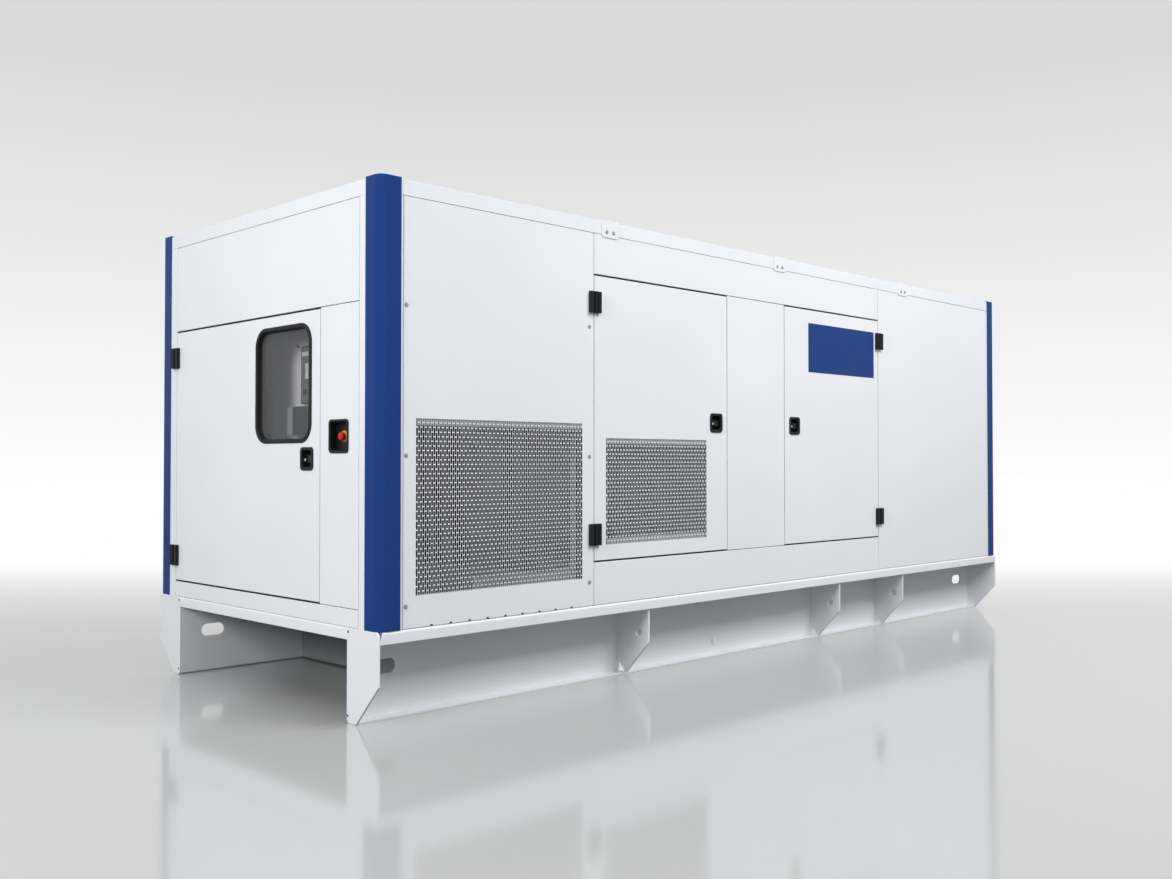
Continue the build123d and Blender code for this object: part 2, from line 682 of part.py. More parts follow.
def dish(u, z, face, width, height, depth):
    """Return the hollow of a moulded housing: a flared mouth, then walls that draw in to a flat floor."""
    inward = Plane(origin=(u, -face - LATCH_FLANGE, z), x_dir=(1, 0, 0), z_dir=(0, 1, 0))
    mouth = rounded(width + 2 * DISH_FLARE, height + 2 * DISH_FLARE, LATCH_DISH_R + DISH_FLARE)
    flare = extrude(inward * mouth, DISH_FLARE, taper=45)
    walls = inward.offset(DISH_FLARE) * rounded(width, height, LATCH_DISH_R)
    return flare + extrude(walls, depth - DISH_FLARE, taper=DISH_TAPER)


def latch_housing(u, z, face):
    """Return the housing: a round-cornered flange, a dished pocket and the boss of the key."""
    plane = face_plane(u, z, face)
    flange = extrude(plane * rounded(LATCH_SIZE, LATCH_SIZE, LATCH_R), LATCH_FLANGE)
    pan = extrude(plane * Rectangle(LATCH_POCKET, LATCH_POCKET), -LATCH_DEPTH)
    opening = LATCH_POCKET - 2 * LATCH_WALL
    hollow = dish(u, z, face, opening, opening, LATCH_FLANGE + LATCH_DEPTH - LATCH_WALL)
    key = plane.offset(-KEY_DEPTH) * Pos(-KEY_OFFSET, -KEY_DROP) * Circle(KEY_R)
    boss = extrude(key, KEY_DEPTH - LATCH_DEPTH)
    pivot = lever_pin(u, z, face, LATCH_POCKET, LEVER_PIN_R + SLIP)
    return flange + pan - hollow + boss - pivot


def lever_pin(u, z, face, length, radius):
    """Return the cross pin of a lever."""
    start = (u - length / 2, -face + LEVER_PIVOT_DEPTH, z + LEVER_PIVOT_RISE)
    axis = Plane(origin=start, x_dir=(0, 1, 0), z_dir=(1, 0, 0))
    return extrude(axis * Circle(radius), length)


def latch_lever(u, z, face):
    """Return the paddle beside the key with its cross pin; it swings out at its lower edge."""
    top = z + LEVER_PIVOT_RISE + LEVER_PIN_R
    middle = u + LEVER_OFFSET
    paddle = wall_block(
        (middle - LEVER_WIDTH / 2, middle + LEVER_WIDTH / 2),
        (top - LEVER_HEIGHT, top),
        face,
        (LEVER_PIVOT_DEPTH - LEVER / 2, LEVER_PIVOT_DEPTH + LEVER / 2),
    )
    front = paddle.faces().sort_by(Axis.Y)[0]
    paddle = chamfer(front.edges(), LEVER / 3)
    return paddle + lever_pin(u, z, face, LATCH_POCKET - 2 * SLIP, LEVER_PIN_R)


# Long side

def front_fixed_panels():
    """Return the fixed panels of the long side by name."""
    end_x = UPRIGHT_SEAM_X
    header_z = (DOOR_Z[1], ROOF_SEAM_Z)
    sill_z = (BASE_TOP, DOOR_Z[0])
    full_z = (BASE_TOP, ROOF_SEAM_Z)
    doors_x = (DOOR_1_X[0], DOOR_2_X[1])
    intake = fixed_panel((-end_x, DOOR_1_X[0]), full_z, FACE_Y)
    return {
        "intake_panel": punched(intake, INTAKE_X, INTAKE_Z, FACE_Y) - drain_notches(FACE_Y),
        "header": fixed_panel(doors_x, header_z, FACE_Y),
        "sill": fixed_panel(doors_x, sill_z, FACE_Y),
        "middle_panel": fixed_panel((DOOR_1_X[1], DOOR_2_X[0]), DOOR_Z, FACE_Y),
        "right_panel": fixed_panel((DOOR_2_X[1], end_x), full_z, FACE_Y),
    }


def front_door(x_span, latch_x):
    """Return a plain door of the long side with the cut for its latch."""
    leaf = door_leaf(x_span, DOOR_Z, FACE_Y)
    return leaf - pocket_cut(latch_x, DOOR_LATCH_Z, LATCH_POCKET, LATCH_POCKET, FACE_Y)


def name_plate():
    """Return the bare plate on the second door."""
    return block(NAME_PLATE_X, (-FACE_Y - NAME_PLATE, -FACE_Y), NAME_PLATE_Z)


# Control end

def window_plane():
    """Return the plane of the window's middle on the outer face of the end door."""
    return face_plane(sum(WINDOW_U) / 2, sum(WINDOW_Z) / 2, FACE_X)


def window_outline(inset):
    """Return the window's rounded outline, moved in by the inset."""
    width = WINDOW_U[1] - WINDOW_U[0] - 2 * inset
    height = WINDOW_Z[1] - WINDOW_Z[0] - 2 * inset
    return rounded(width, height, WINDOW_R - inset)


def end_door():
    """Return the end door with its window and latch cuts."""
    leaf = door_leaf(END_DOOR_U, END_DOOR_Z, FACE_X)
    window = extrude(window_plane() * window_outline(GASKET_LAP), -PANEL)
    return leaf - window - pocket_cut(END_LATCH_U, END_LATCH_Z, LATCH_POCKET, LATCH_POCKET, FACE_X)


def window_gasket():
    """Return the rubber ring that laps the door and grips the glass."""
    plane = window_plane()
    lap = extrude(plane * window_outline(0), GASKET_PROUD)
    sleeve = extrude(plane * window_outline(GASKET_LAP + SLIP), -(PANEL - LINING_SETBACK))
    opening = extrude(plane.offset(GASKET_PROUD) * window_outline(GASKET_FACE), -(GASKET_PROUD + PANEL))
    return lap + sleeve - opening - window_glass()


def window_glass():
    """Return the pane, held in the ring's groove."""
    middle = window_plane().offset(-(PANEL - GLASS) / 2)
    return extrude(middle * window_outline(GASKET_FACE - GLASS_BITE), -GLASS)


def end_side_panel():
    """Return the narrow fixed panel with the cut for the stop housing."""
    strip = fixed_panel((END_DOOR_U[1], UPRIGHT_SEAM_Y), END_DOOR_Z, FACE_X)
    width = STOP_WIDTH - 2 * LATCH_WALL
    height = STOP_HEIGHT - 2 * LATCH_WALL
    return strip - pocket_cut(STOP_U, STOP_Z, width, height, FACE_X)


def stop_housing():
    """Return the round-cornered recess around the stop button."""
    plane = face_plane(STOP_U, STOP_Z, FACE_X)
    width = STOP_WIDTH - 2 * LATCH_WALL
    height = STOP_HEIGHT - 2 * LATCH_WALL
    flange = extrude(plane * rounded(STOP_WIDTH, STOP_HEIGHT, LATCH_R), LATCH_FLANGE)
    pan = extrude(plane * Rectangle(width, height), -STOP_DEPTH)
    depth = LATCH_FLANGE + STOP_DEPTH - LATCH_WALL
    hollow = dish(STOP_U, STOP_Z, FACE_X, width - 2 * LATCH_WALL, height - 2 * LATCH_WALL, depth)
    bore = extrude(plane * Circle(STOP_STEM_R + SLIP), -STOP_DEPTH)
    return flange + pan - hollow - bore


def stop_floor_plane():
    """Return the plane of the floor of the stop recess."""
    return face_plane(STOP_U, STOP_Z, FACE_X).offset(-(STOP_DEPTH - LATCH_WALL))


def stop_collar():
    """Return the yellow disc under the button."""
    disc = extrude(stop_floor_plane() * Circle(STOP_COLLAR_R), SHEET)
    return disc - extrude(stop_floor_plane() * Circle(STOP_STEM_R + SLIP), SHEET)


def stop_button():
    """Return the mushroom button with its stem through the housing floor."""
    floor = stop_floor_plane()
    head_low = SHEET + 2 * STOP_TRAVEL
    head = extrude(floor.offset(head_low) * Circle(STOP_BUTTON_R), STOP_TRAVEL * 2)
    rim = head.edges().filter_by(GeomType.CIRCLE).sort_by(Axis.Y)[0]
    head = chamfer(rim, STOP_TRAVEL)
    stem = extrude(floor.offset(head_low) * Circle(STOP_STEM_R), -(head_low + LATCH_WALL))
    return head + stem


def closed_hinge(u, z, face, side):
    """Return a closed hinge as one solid, both leaves on one full barrel."""
    z_low = z - HINGE_HEIGHT / 2
    z_high = z + HINGE_HEIGHT / 2
    leaves = [hinge_leaf(sign * side, z_low, z_high, [(z_low, z_high)], 0) for sign in (-1, 1)]
    return Pos(u, -face - HINGE_OUT, 0) * (leaves[0] + leaves[1])


def end_hinges():
    """Return the frame halves and the door halves of the end door's hinges."""
    return [hinge(END_DOOR_U[0], z, FACE_X, 1) for z in END_HINGE_Z]


def far_end_panel():
    """Return the wall of the far end with its air outlet grille."""
    wall = fixed_panel((-UPRIGHT_SEAM_Y, UPRIGHT_SEAM_Y), (BASE_TOP, ROOF_SEAM_Z), FACE_X)
    half_width = (INTAKE_X[1] - INTAKE_X[0]) / 2
    return punched(wall, (-half_width, half_width), INTAKE_Z, FACE_X)


# Controls and machinery

def control_module():
    """Return the control module on the front of the cabinet."""
    return block((CABINET_X[0] - MODULE_PROUD, CABINET_X[0]), MODULE_Y, MODULE_Z)


def breaker_box():
    """Return the dark switch box below the control module."""
    return block((CABINET_X[0] - BREAKER_PROUD, CABINET_X[0]), BREAKER_Y, BREAKER_Z)


def machinery_skids():
    """Return the two beams that carry the engine and the alternator."""
    y_span = (-SKID_Y - SKID_WIDTH / 2, -SKID_Y + SKID_WIDTH / 2)
    return mirrored_y([block(SKID_X, y_span, (BASE_TOP, BASE_TOP + SKID_HEIGHT))])


def disc(x_low, x_high, radius, y=0, z=SHAFT_Z):
    """Return the cylinder along X between two places."""
    return extrude(Plane.YZ.offset(x_low) * Pos(y, z) * Circle(radius), x_high - x_low)


def machine_feet(x_low, x_high):
    """Return the two cross feet on the machinery skids, each with its pedestal up to the shaft line."""
    foot_y = SKID_Y + SKID_WIDTH / 2
    feet = []
    for low in (x_low + FOOT_INSET, x_high - FOOT_INSET - FOOT_LENGTH):
        x_span = (low, low + FOOT_LENGTH)
        feet.append(block(x_span, (-foot_y, foot_y), (SKID_TOP, SKID_TOP + FOOT_HEIGHT)))
        feet.append(block(x_span, (-PEDESTAL_WIDTH / 2, PEDESTAL_WIDTH / 2), (SKID_TOP, SHAFT_Z)))
    return feet


def rocker_covers(x_low, x_high, low):
    """Return the row of bevelled covers, one for each cylinder."""
    pitch = (x_high - x_low) / CYLINDERS
    covers = []
    for cylinder in range(CYLINDERS):
        x_span = grown((x_low + pitch * cylinder, x_low + pitch * (cylinder + 1)), -COVER_GAP / 2)
        cover = block(x_span, (-COVER_WIDTH / 2, COVER_WIDTH / 2), (low, low + COVER_HEIGHT))
        covers.append(chamfer(cover.edges().filter_by(Axis.X).group_by(Axis.Z)[-1], COVER_BEVEL))
    return covers


def exhaust_manifold(x_low, x_high, z):
    """Return the manifold: a pipe along the head with a branch from each cylinder."""
    pitch = (x_high - x_low) / CYLINDERS
    pipe = disc(x_low, x_high, MANIFOLD_R, MANIFOLD_Y, z)
    lows = [x_low + pitch * cylinder + (pitch - BRANCH_WIDTH) / 2 for cylinder in range(CYLINDERS)]
    port_z = grown((z, z), BRANCH_HEIGHT / 2)
    return [pipe] + [block((low, low + BRANCH_WIDTH), (0, MANIFOLD_Y), port_z) for low in lows]


def oil_filters(x_low, top):
    """Return the filter cans that hang beside the block on the service side."""
    y = -BLOCK_WIDTH / 2 - FILTER_R
    places = (x_low, x_low + FILTER_PITCH)
    low = Plane.XY.offset(top - FILTER_HEIGHT)
    cans = [extrude(low * Pos(x, y) * Circle(FILTER_R), FILTER_HEIGHT) for x in places]
    x_span = grown(places, FILTER_R)
    bridge = block(x_span, (y, -BLOCK_WIDTH / 2), (top - SHEET, top + FILTER_R))
    return [bridge, *cans]


def engine():
    """Return the engine: sump, block, flywheel housing, head with covers, manifold, filters and fan drive."""
    low_x, high_x = ENGINE_X
    block_x = (low_x + HOUSING_LENGTH, high_x - PULLEY_LENGTH)
    crank_z = (SHAFT_Z - CRANK_DROP, SHAFT_Z + BLOCK_RISE)
    head_z = (crank_z[1], crank_z[1] + HEAD_HEIGHT)
    crankcase = block(block_x, (-BLOCK_WIDTH / 2, BLOCK_WIDTH / 2), crank_z)
    head = block(block_x, (-HEAD_WIDTH / 2, HEAD_WIDTH / 2), head_z)
    middle_x = sum(block_x) / 2
    sump = block(
        grown((middle_x, middle_x), SUMP_LENGTH / 2),
        (-SUMP_WIDTH / 2, SUMP_WIDTH / 2),
        (SHAFT_Z - SUMP_DROP, crank_z[0]),
    )
    flywheel_housing = disc(low_x, block_x[0], HOUSING_R)
    pulley = disc(block_x[1], high_x, PULLEY_R)
    fan_drive = disc(high_x, FAN_X[0], FAN_SHAFT_R)
    manifold = exhaust_manifold(*block_x, sum(head_z) / 2)
    filters = oil_filters(middle_x, SHAFT_Z)
    covers = rocker_covers(*block_x, head_z[1])
    feet = machine_feet(low_x, block_x[1])
    pieces = [head, sump, flywheel_housing, pulley, fan_drive, *manifold, *filters, *covers, *feet]
    return crankcase + pieces


def cooling_fan():
    """Return the fan: a hub with pitched blades set around it."""
    hub = disc(*FAN_X, FAN_HUB_R)
    middle = Pos(sum(FAN_X) / 2, 0, SHAFT_Z)
    reach = FAN_R - FAN_HUB_R / 2
    blade = Pos(0, 0, FAN_R - reach / 2) * Rot(0, 0, BLADE_PITCH) * Box(BLADE, BLADE_WIDTH, reach)
    return hub + [middle * turn * blade for turn in turns_about_shaft(FAN_BLADES)]


def turns_about_shaft(count):
    """Return the equal turns about the shaft line for a ring of like shapes."""
    return [Rot(360 / count * step, 0, 0) for step in range(count)]


def alternator():
    """Return the alternator: a round frame with a vented end bell, a terminal box and two feet."""
    low_x, high_x = ALTERNATOR_X
    frame = disc(low_x + BELL_LENGTH, high_x, ALTERNATOR_R)
    bell = disc(low_x, low_x + BELL_LENGTH, BELL_R)
    vent = Pos(low_x + BELL_LENGTH / 2, 0, BELL_R) * Box(BELL_LENGTH / 2, VENT_WIDTH, 2 * VENT_DEPTH)
    vents = [Pos(0, 0, SHAFT_Z) * turn * vent for turn in turns_about_shaft(VENT_COUNT)]
    box_x = grown((low_x + BELL_LENGTH, high_x), -TERMINAL_BOX_INSET)
    box_y = (-TERMINAL_BOX_WIDTH / 2, TERMINAL_BOX_WIDTH / 2)
    terminal_box = block(box_x, box_y, (SHAFT_Z, SHAFT_Z + ALTERNATOR_R + TERMINAL_BOX_HEIGHT))
    feet = machine_feet(low_x + BELL_LENGTH, high_x)
    return frame + [bell, terminal_box, *feet] - vents


def radiator():
    """Return the radiator: a frame around a thinner core, with the fan shroud on the engine side."""
    y_span = (-RADIATOR_HALF_WIDTH, RADIATOR_HALF_WIDTH)
    z_span = (BASE_TOP, RADIATOR_TOP)
    inner_y = grown(y_span, -RADIATOR_FRAME)
    inner_z = grown(z_span, -RADIATOR_FRAME)
    frame = block(RADIATOR_X, y_span, z_span) - block(RADIATOR_X, inner_y, inner_z)
    core = block(grown(RADIATOR_X, -RADIATOR_FRAME / 2), inner_y, inner_z)
    shroud_x = (RADIATOR_X[0] - SHROUD_DEPTH, RADIATOR_X[0])
    shroud_y = grown(y_span, -SHROUD_SIDE_GAP)
    shroud_z = grown(z_span, -SHROUD)
    shell = block(shroud_x, shroud_y, shroud_z)
    shell -= block((shroud_x[0] + SHROUD, shroud_x[1]), grown(shroud_y, -SHROUD), grown(shroud_z, -SHROUD))
    mouth = disc(shroud_x[0], shroud_x[0] + SHROUD, FAN_R + FAN_TIP_GAP)
    return frame + core + (shell - mouth)


def build():
    """Write every piece to its own file."""
    os.makedirs("parts", exist_ok=True)

    save("base_rail_front", [rail()])
    save("base_rail_rear", rear([rail()]))
    save("base_gussets", mirrored_y([gusset(x) for x in GUSSET_X]))
    save("base_end_plates", mirrored_x(mirrored_y([end_plate()])))
    save("base_end_beams", mirrored_x([end_beam()]))
    save("base_deck", [deck()])
    save("fuel_tank", [fuel_tank()])

    upright_x = (DOOR_1_X[0] - TUBE, DOOR_1_X[1], DOOR_2_X[0] - TUBE, DOOR_2_X[1])
    save("door_uprights", mirrored_y([tube_upright(x, FACE_Y) for x in upright_x]))
    end_upright = tube_upright(END_DOOR_U[1], FACE_X)
    far_uprights = mirrored_y([TO_FAR_END * end_upright])
    save("end_uprights", [TO_CONTROL_END * end_upright, *far_uprights])
    corner = corner_upright(UPRIGHT_SEAM_Y)
    hinge_corner = mirror(corner_upright(-END_DOOR_U[0]), about=Plane.XZ)
    far_corners = [mirror(shape, about=Plane.YZ) for shape in mirrored_y([corner])]
    save("corner_uprights", [corner, hinge_corner, *far_corners])
    save("roof_frame", roof_frame())
    save("corner_trims", mirrored_x(mirrored_y([corner_trim()])))
    save("roof_sections", roof_sections())
    save("roof_clamps", mirrored_y([roof_clamp(x) for x in ROOF_JOINT_X]))

    fixed = front_fixed_panels()
    for name, shape in fixed.items():
        save(f"front_{name}", [shape])
    save("rear_intake_panel", rear([fixed.pop("intake_panel")]))
    save("rear_wall_panels", rear(list(fixed.values())))

    door_1 = punched(front_door(DOOR_1_X, DOOR_1_LATCH_X), DOOR_GRILLE_X, DOOR_GRILLE_Z, FACE_Y)
    door_2 = front_door(DOOR_2_X, DOOR_2_LATCH_X)
    save("front_door_1", [door_1])
    save("front_door_2", [door_2])
    save("rear_doors", rear([door_1, door_2]))
    save("name_plate", [name_plate()])

    hinges_1 = [hinge(DOOR_1_X[0], z, FACE_Y, 1) for z in DOOR_HINGE_Z]
    hinges_2 = [hinge(DOOR_2_X[1], z, FACE_Y, -1) for z in DOOR_HINGE_Z]
    hinges_end = [[TO_CONTROL_END * half for half in pair] for pair in end_hinges()]
    save("hinge_frame_leaves", [pair[0] for pair in (*hinges_1, *hinges_2, *hinges_end)])
    save("front_door_1_hinges", [pair[1] for pair in hinges_1])
    save("front_door_2_hinges", [pair[1] for pair in hinges_2])
    save("end_door_hinges", [pair[1] for pair in hinges_end])
    hinge_x = (DOOR_1_X[0], DOOR_2_X[1])
    rear_hinges = [closed_hinge(x, z, FACE_Y, 1) for x in hinge_x for z in DOOR_HINGE_Z]
    save("rear_hinge_leaves", rear(rear_hinges))

    latch_1 = latch_housing(DOOR_1_LATCH_X, DOOR_LATCH_Z, FACE_Y)
    latch_2 = latch_housing(DOOR_2_LATCH_X, DOOR_LATCH_Z, FACE_Y)
    lever_1 = latch_lever(DOOR_1_LATCH_X, DOOR_LATCH_Z, FACE_Y)
    lever_2 = latch_lever(DOOR_2_LATCH_X, DOOR_LATCH_Z, FACE_Y)
    save("front_door_1_latch", [latch_1])
    save("front_door_2_latch", [latch_2])
    save("front_door_1_lever", [lever_1])
    save("front_door_2_lever", [lever_2])
    save("rear_latches", rear([latch_1, latch_2]))
    save("rear_levers", rear([lever_1, lever_2]))

    header_z = (END_DOOR_Z[1], ROOF_SEAM_Z)
    sill_z = (BASE_TOP, END_DOOR_Z[0])
    end_u = (END_DOOR_U[0], UPRIGHT_SEAM_Y)
    save("end_header", [TO_CONTROL_END * fixed_panel(end_u, header_z, FACE_X)])
    save("end_sill", [TO_CONTROL_END * fixed_panel(end_u, sill_z, FACE_X)])
    save("end_side_panel", [TO_CONTROL_END * end_side_panel()])
    save("end_door", [TO_CONTROL_END * end_door()])
    save("window_gasket", [TO_CONTROL_END * window_gasket()])
    save("window_glass", [TO_CONTROL_END * window_glass()])
    save("end_door_latch", [TO_CONTROL_END * latch_housing(END_LATCH_U, END_LATCH_Z, FACE_X)])
    save("end_door_lever", [TO_CONTROL_END * latch_lever(END_LATCH_U, END_LATCH_Z, FACE_X)])
    save("stop_housing", [TO_CONTROL_END * stop_housing()])
    save("stop_collar", [TO_CONTROL_END * stop_collar()])
    save("stop_button", [TO_CONTROL_END * stop_button()])
    save("far_end_panel", [TO_FAR_END * far_end_panel()])

    save("control_cabinet", [block(CABINET_X, CABINET_Y, (BASE_TOP, CABINET_TOP))])
    save("control_module", [control_module()])
    save("breaker_box", [breaker_box()])
    save("machinery_skids", machinery_skids())
    save("engine", [engine()])
    save("cooling_fan", [cooling_fan()])
    save("alternator", [alternator()])
    save("radiator", [radiator()])


build()
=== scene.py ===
import json
import math

import bmesh
import bpy
from mathutils import Matrix, Vector

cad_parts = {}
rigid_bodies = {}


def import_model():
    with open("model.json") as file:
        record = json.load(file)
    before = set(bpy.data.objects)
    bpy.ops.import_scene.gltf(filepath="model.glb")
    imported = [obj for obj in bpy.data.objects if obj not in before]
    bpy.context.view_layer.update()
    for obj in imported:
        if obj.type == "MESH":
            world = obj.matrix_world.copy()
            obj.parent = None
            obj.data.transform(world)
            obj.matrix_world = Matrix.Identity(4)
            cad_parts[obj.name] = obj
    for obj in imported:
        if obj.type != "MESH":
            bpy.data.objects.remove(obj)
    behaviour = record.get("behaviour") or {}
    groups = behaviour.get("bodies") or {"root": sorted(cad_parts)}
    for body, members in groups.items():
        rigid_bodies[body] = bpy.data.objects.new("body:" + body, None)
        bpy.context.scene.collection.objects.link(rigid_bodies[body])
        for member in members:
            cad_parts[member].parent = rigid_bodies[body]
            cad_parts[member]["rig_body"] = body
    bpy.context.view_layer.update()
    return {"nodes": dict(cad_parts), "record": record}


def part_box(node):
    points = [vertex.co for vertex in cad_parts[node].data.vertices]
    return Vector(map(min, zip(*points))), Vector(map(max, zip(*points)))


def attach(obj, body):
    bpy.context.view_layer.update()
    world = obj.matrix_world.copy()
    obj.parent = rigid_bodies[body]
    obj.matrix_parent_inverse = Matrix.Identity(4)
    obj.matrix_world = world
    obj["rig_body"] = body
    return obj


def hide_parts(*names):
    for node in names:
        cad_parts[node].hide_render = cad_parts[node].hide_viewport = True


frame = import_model()
nodes = frame["nodes"]


# Skid base: two side rails folded from 8 mm sheet, with gussets, shaped end plates and cross beams
# welded on, and the fuel tank hung between them. The steel is powder coated white after welding, and
# the cut edges keep a small round.
RAIL_EDGE = 0.0025
GUSSET_EDGE = 0.0015
WHITE = (0.84, 0.862, 0.89)
DECK_GREY = (0.30, 0.31, 0.32)
DUST = (0.50, 0.48, 0.45)


def add_node(tree, kind, settings=None, inputs=None):
    """Adds a shader node, sets its properties, and fills or links its inputs."""
    made = tree.nodes.new(kind)
    for name, value in (settings or {}).items():
        setattr(made, name, value)
    for name, value in (inputs or {}).items():
        if isinstance(value, bpy.types.NodeSocket):
            tree.links.new(value, made.inputs[name])
        else:
            made.inputs[name].default_value = value
    return made


GROUP_RESULTS = (("Colour", "NodeSocketColor"), ("Roughness", "NodeSocketFloat"),
                 ("Normal", "NodeSocketVector"))
MIX_FIRST, MIX_SECOND, MIX_RESULT = 6, 7, 2


def new_group(name, colour, roughness, more=None):
    """Starts a shader node group with named inputs and returns its tree and the sockets of its start."""
    tree = bpy.data.node_groups.new(name, "ShaderNodeTree")
    for label, value in {"Colour": (*colour, 1.0), "Roughness": roughness, **(more or {})}.items():
        kind = "NodeSocketColor" if isinstance(value, tuple) else "NodeSocketFloat"
        tree.interface.new_socket(label, in_out="INPUT", socket_type=kind).default_value = value
    for label, kind in GROUP_RESULTS:
        tree.interface.new_socket(label, in_out="OUTPUT", socket_type=kind)
    return tree, tree.nodes.new("NodeGroupInput").outputs


def close_group(tree, *results):
    """Joins a colour, a roughness and a normal to the end of a group and returns its tree."""
    end = tree.nodes.new("NodeGroupOutput")
    for (label, _), result in zip(GROUP_RESULTS, results):
        tree.links.new(result, end.inputs[label])
    return tree


def object_place(tree):
    """Gives the place on the object in its own metres."""
    return add_node(tree, "ShaderNodeTexCoord").outputs["Object"]


def noise(tree, scale, detail=2.0):
    """Adds a noise texture in the object's own metres and returns its value."""
    return add_node(tree, "ShaderNodeTexNoise", inputs={
        "Vector": object_place(tree), "Scale": scale, "Detail": detail}).outputs["Fac"]


def ranged(tree, value, start, stop, low=0.0, high=1.0, curve="LINEAR"):
    """Maps a value from the span between start and stop to the span between low and high."""
    return add_node(tree, "ShaderNodeMapRange", {"interpolation_type": curve}, {
        "Value": value, "From Min": start, "From Max": stop, "To Min": low, "To Max": high}).outputs["Result"]


def spread(tree, value, low, high):
    """Maps the middle of a noise value to the range from low to high."""
    return ranged(tree, value, 0.3, 0.7, low, high)


def maths(tree, operation, *values):
    """Adds one maths node on numbers or sockets and returns its result."""
    made = add_node(tree, "ShaderNodeMath", {"operation": operation}, dict(enumerate(values)))
    return made.outputs["Value"]


def blend(tree, share, first, second, kind="MIX"):
    """Mixes two colours and returns the result."""
    return add_node(tree, "ShaderNodeMix", {"data_type": "RGBA", "blend_type": kind}, {
        "Factor": share, MIX_FIRST: first, MIX_SECOND: second}).outputs[MIX_RESULT]


def toned(tree, colour, tone):
    """Multiplies a colour by a grey tone."""
    grey = add_node(tree, "ShaderNodeCombineColor", inputs={"Red": tone, "Green": tone, "Blue": tone})
    return blend(tree, 1.0, colour, grey.outputs["Color"], "MULTIPLY")


def bump(tree, height, strength, distance, **more):
    """Turns a height into a normal."""
    return add_node(tree, "ShaderNodeBump", inputs={
        "Height": height, "Strength": strength, "Distance": distance, **more}).outputs["Normal"]


def powder_coat_group():
    """Baked powder coat: a slight orange peel, broad waves in the sheet, and dust on what faces up."""
    tree, start = new_group("powder_coat", (0.8, 0.8, 0.8), 0.35, {
        "Dust": (*DUST, 1.0), "Dust amount": 0.15, "Peel": 0.12})
    colour = toned(tree, start["Colour"], spread(tree, noise(tree, 1.3, 3.0), 0.975, 1.015))
    facing = add_node(tree, "ShaderNodeNewGeometry").outputs["Normal"]
    up = add_node(tree, "ShaderNodeSeparateXYZ", inputs={"Vector": facing}).outputs["Z"]
    patchy = spread(tree, noise(tree, 9.0, 5.0), 0.2, 1.0)
    settled = maths(tree, "MULTIPLY", ranged(tree, up, 0.6, 0.98), patchy)
    dust = maths(tree, "MULTIPLY", settled, start["Dust amount"])
    rub = spread(tree, noise(tree, 6.0, 4.0), -0.03, 0.05)
    rough = maths(tree, "ADD", start["Roughness"], rub)
    peel = bump(tree, noise(tree, 260.0, 1.0), start["Peel"], 0.0004)
    return close_group(tree, blend(tree, dust, colour, start["Dust"]),
                       maths(tree, "MULTIPLY_ADD", dust, 0.4, rough),
                       bump(tree, noise(tree, 1.8, 1.0), 0.25, 0.004, Normal=peel))


POWDER_COAT = powder_coat_group()


def new_finish(name, colour, group=None, group_values=None, **shader):
    """Makes a material with a Principled shader, fed by a node group where one is given."""
    finish = bpy.data.materials.new(name)
    finish.use_nodes = True
    tree = finish.node_tree
    surface = tree.nodes["Principled BSDF"]
    surface.inputs["Base Color"].default_value = (*colour, 1.0)
    for label, value in shader.items():
        surface.inputs[label.replace("_", " ")].default_value = value
    if group:
        effect = tree.nodes.new("ShaderNodeGroup")
        effect.node_tree = group
        effect.inputs["Colour"].default_value = (*colour, 1.0)
        for label, value in (group_values or {}).items():
            effect.inputs[label].default_value = value
        for target, source in (("Base Color", "Colour"), ("Roughness", "Roughness"), ("Normal", "Normal")):
            tree.links.new(effect.outputs[source], surface.inputs[target])
    return finish


white_coat = new_finish("white_powder_coat", WHITE, POWDER_COAT, {"Dust amount": 0.18, "Roughness": 0.34})
channel_coat = new_finish("channel_powder_coat", WHITE, POWDER_COAT, {"Dust amount": 0.18, "Roughness": 0.36})
deck_coat = new_finish("grey_deck_coat", DECK_GREY, POWDER_COAT, {"Dust amount": 0.5, "Roughness": 0.55})


def show(piece, body, slot, finish, *stands_for):
    """Dresses a finished piece, fixes it to its body and lets it stand for CAD nodes."""
    piece.data.materials.clear()
    piece.data.materials.append(finish)
    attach(piece, body)
    if stands_for:
        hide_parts(*stands_for)
    return piece


def body_of(node):
    """Names the body that a CAD node belongs to."""
    return nodes[node]["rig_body"]


def slot_of(node):
    """Names the record's material slot of a CAD node."""
    return next(part["material_slot"] for part in frame["record"]["subparts"] if part["node"] == node)


SAME_PLACE = 1e-5
FLAT_ANGLE, SHARP_ANGLE, ROUNDED_ANGLE = math.radians(0.5), math.radians(25), math.radians(30)


def mesh_from(shape, name):
    """Turns a finished shape into a mesh."""
    mesh = bpy.data.meshes.new(name)
    shape.to_mesh(mesh)
    shape.free()
    return mesh


def eased(node, edge, finish, segments=2):
    """Makes a copy of a CAD node with clean flat faces and small rounded edges."""
    shape = bmesh.new()
    shape.from_mesh(nodes[node].data)
    bmesh.ops.remove_doubles(shape, verts=shape.verts, dist=SAME_PLACE)
    bmesh.ops.dissolve_limit(shape, angle_limit=FLAT_ANGLE, verts=shape.verts, edges=shape.edges)
    name = node + "_shown"
    return eased_mesh(name, mesh_from(shape, name), edge, finish, body_of(node), slot_of(node), node,
                      segments=segments)


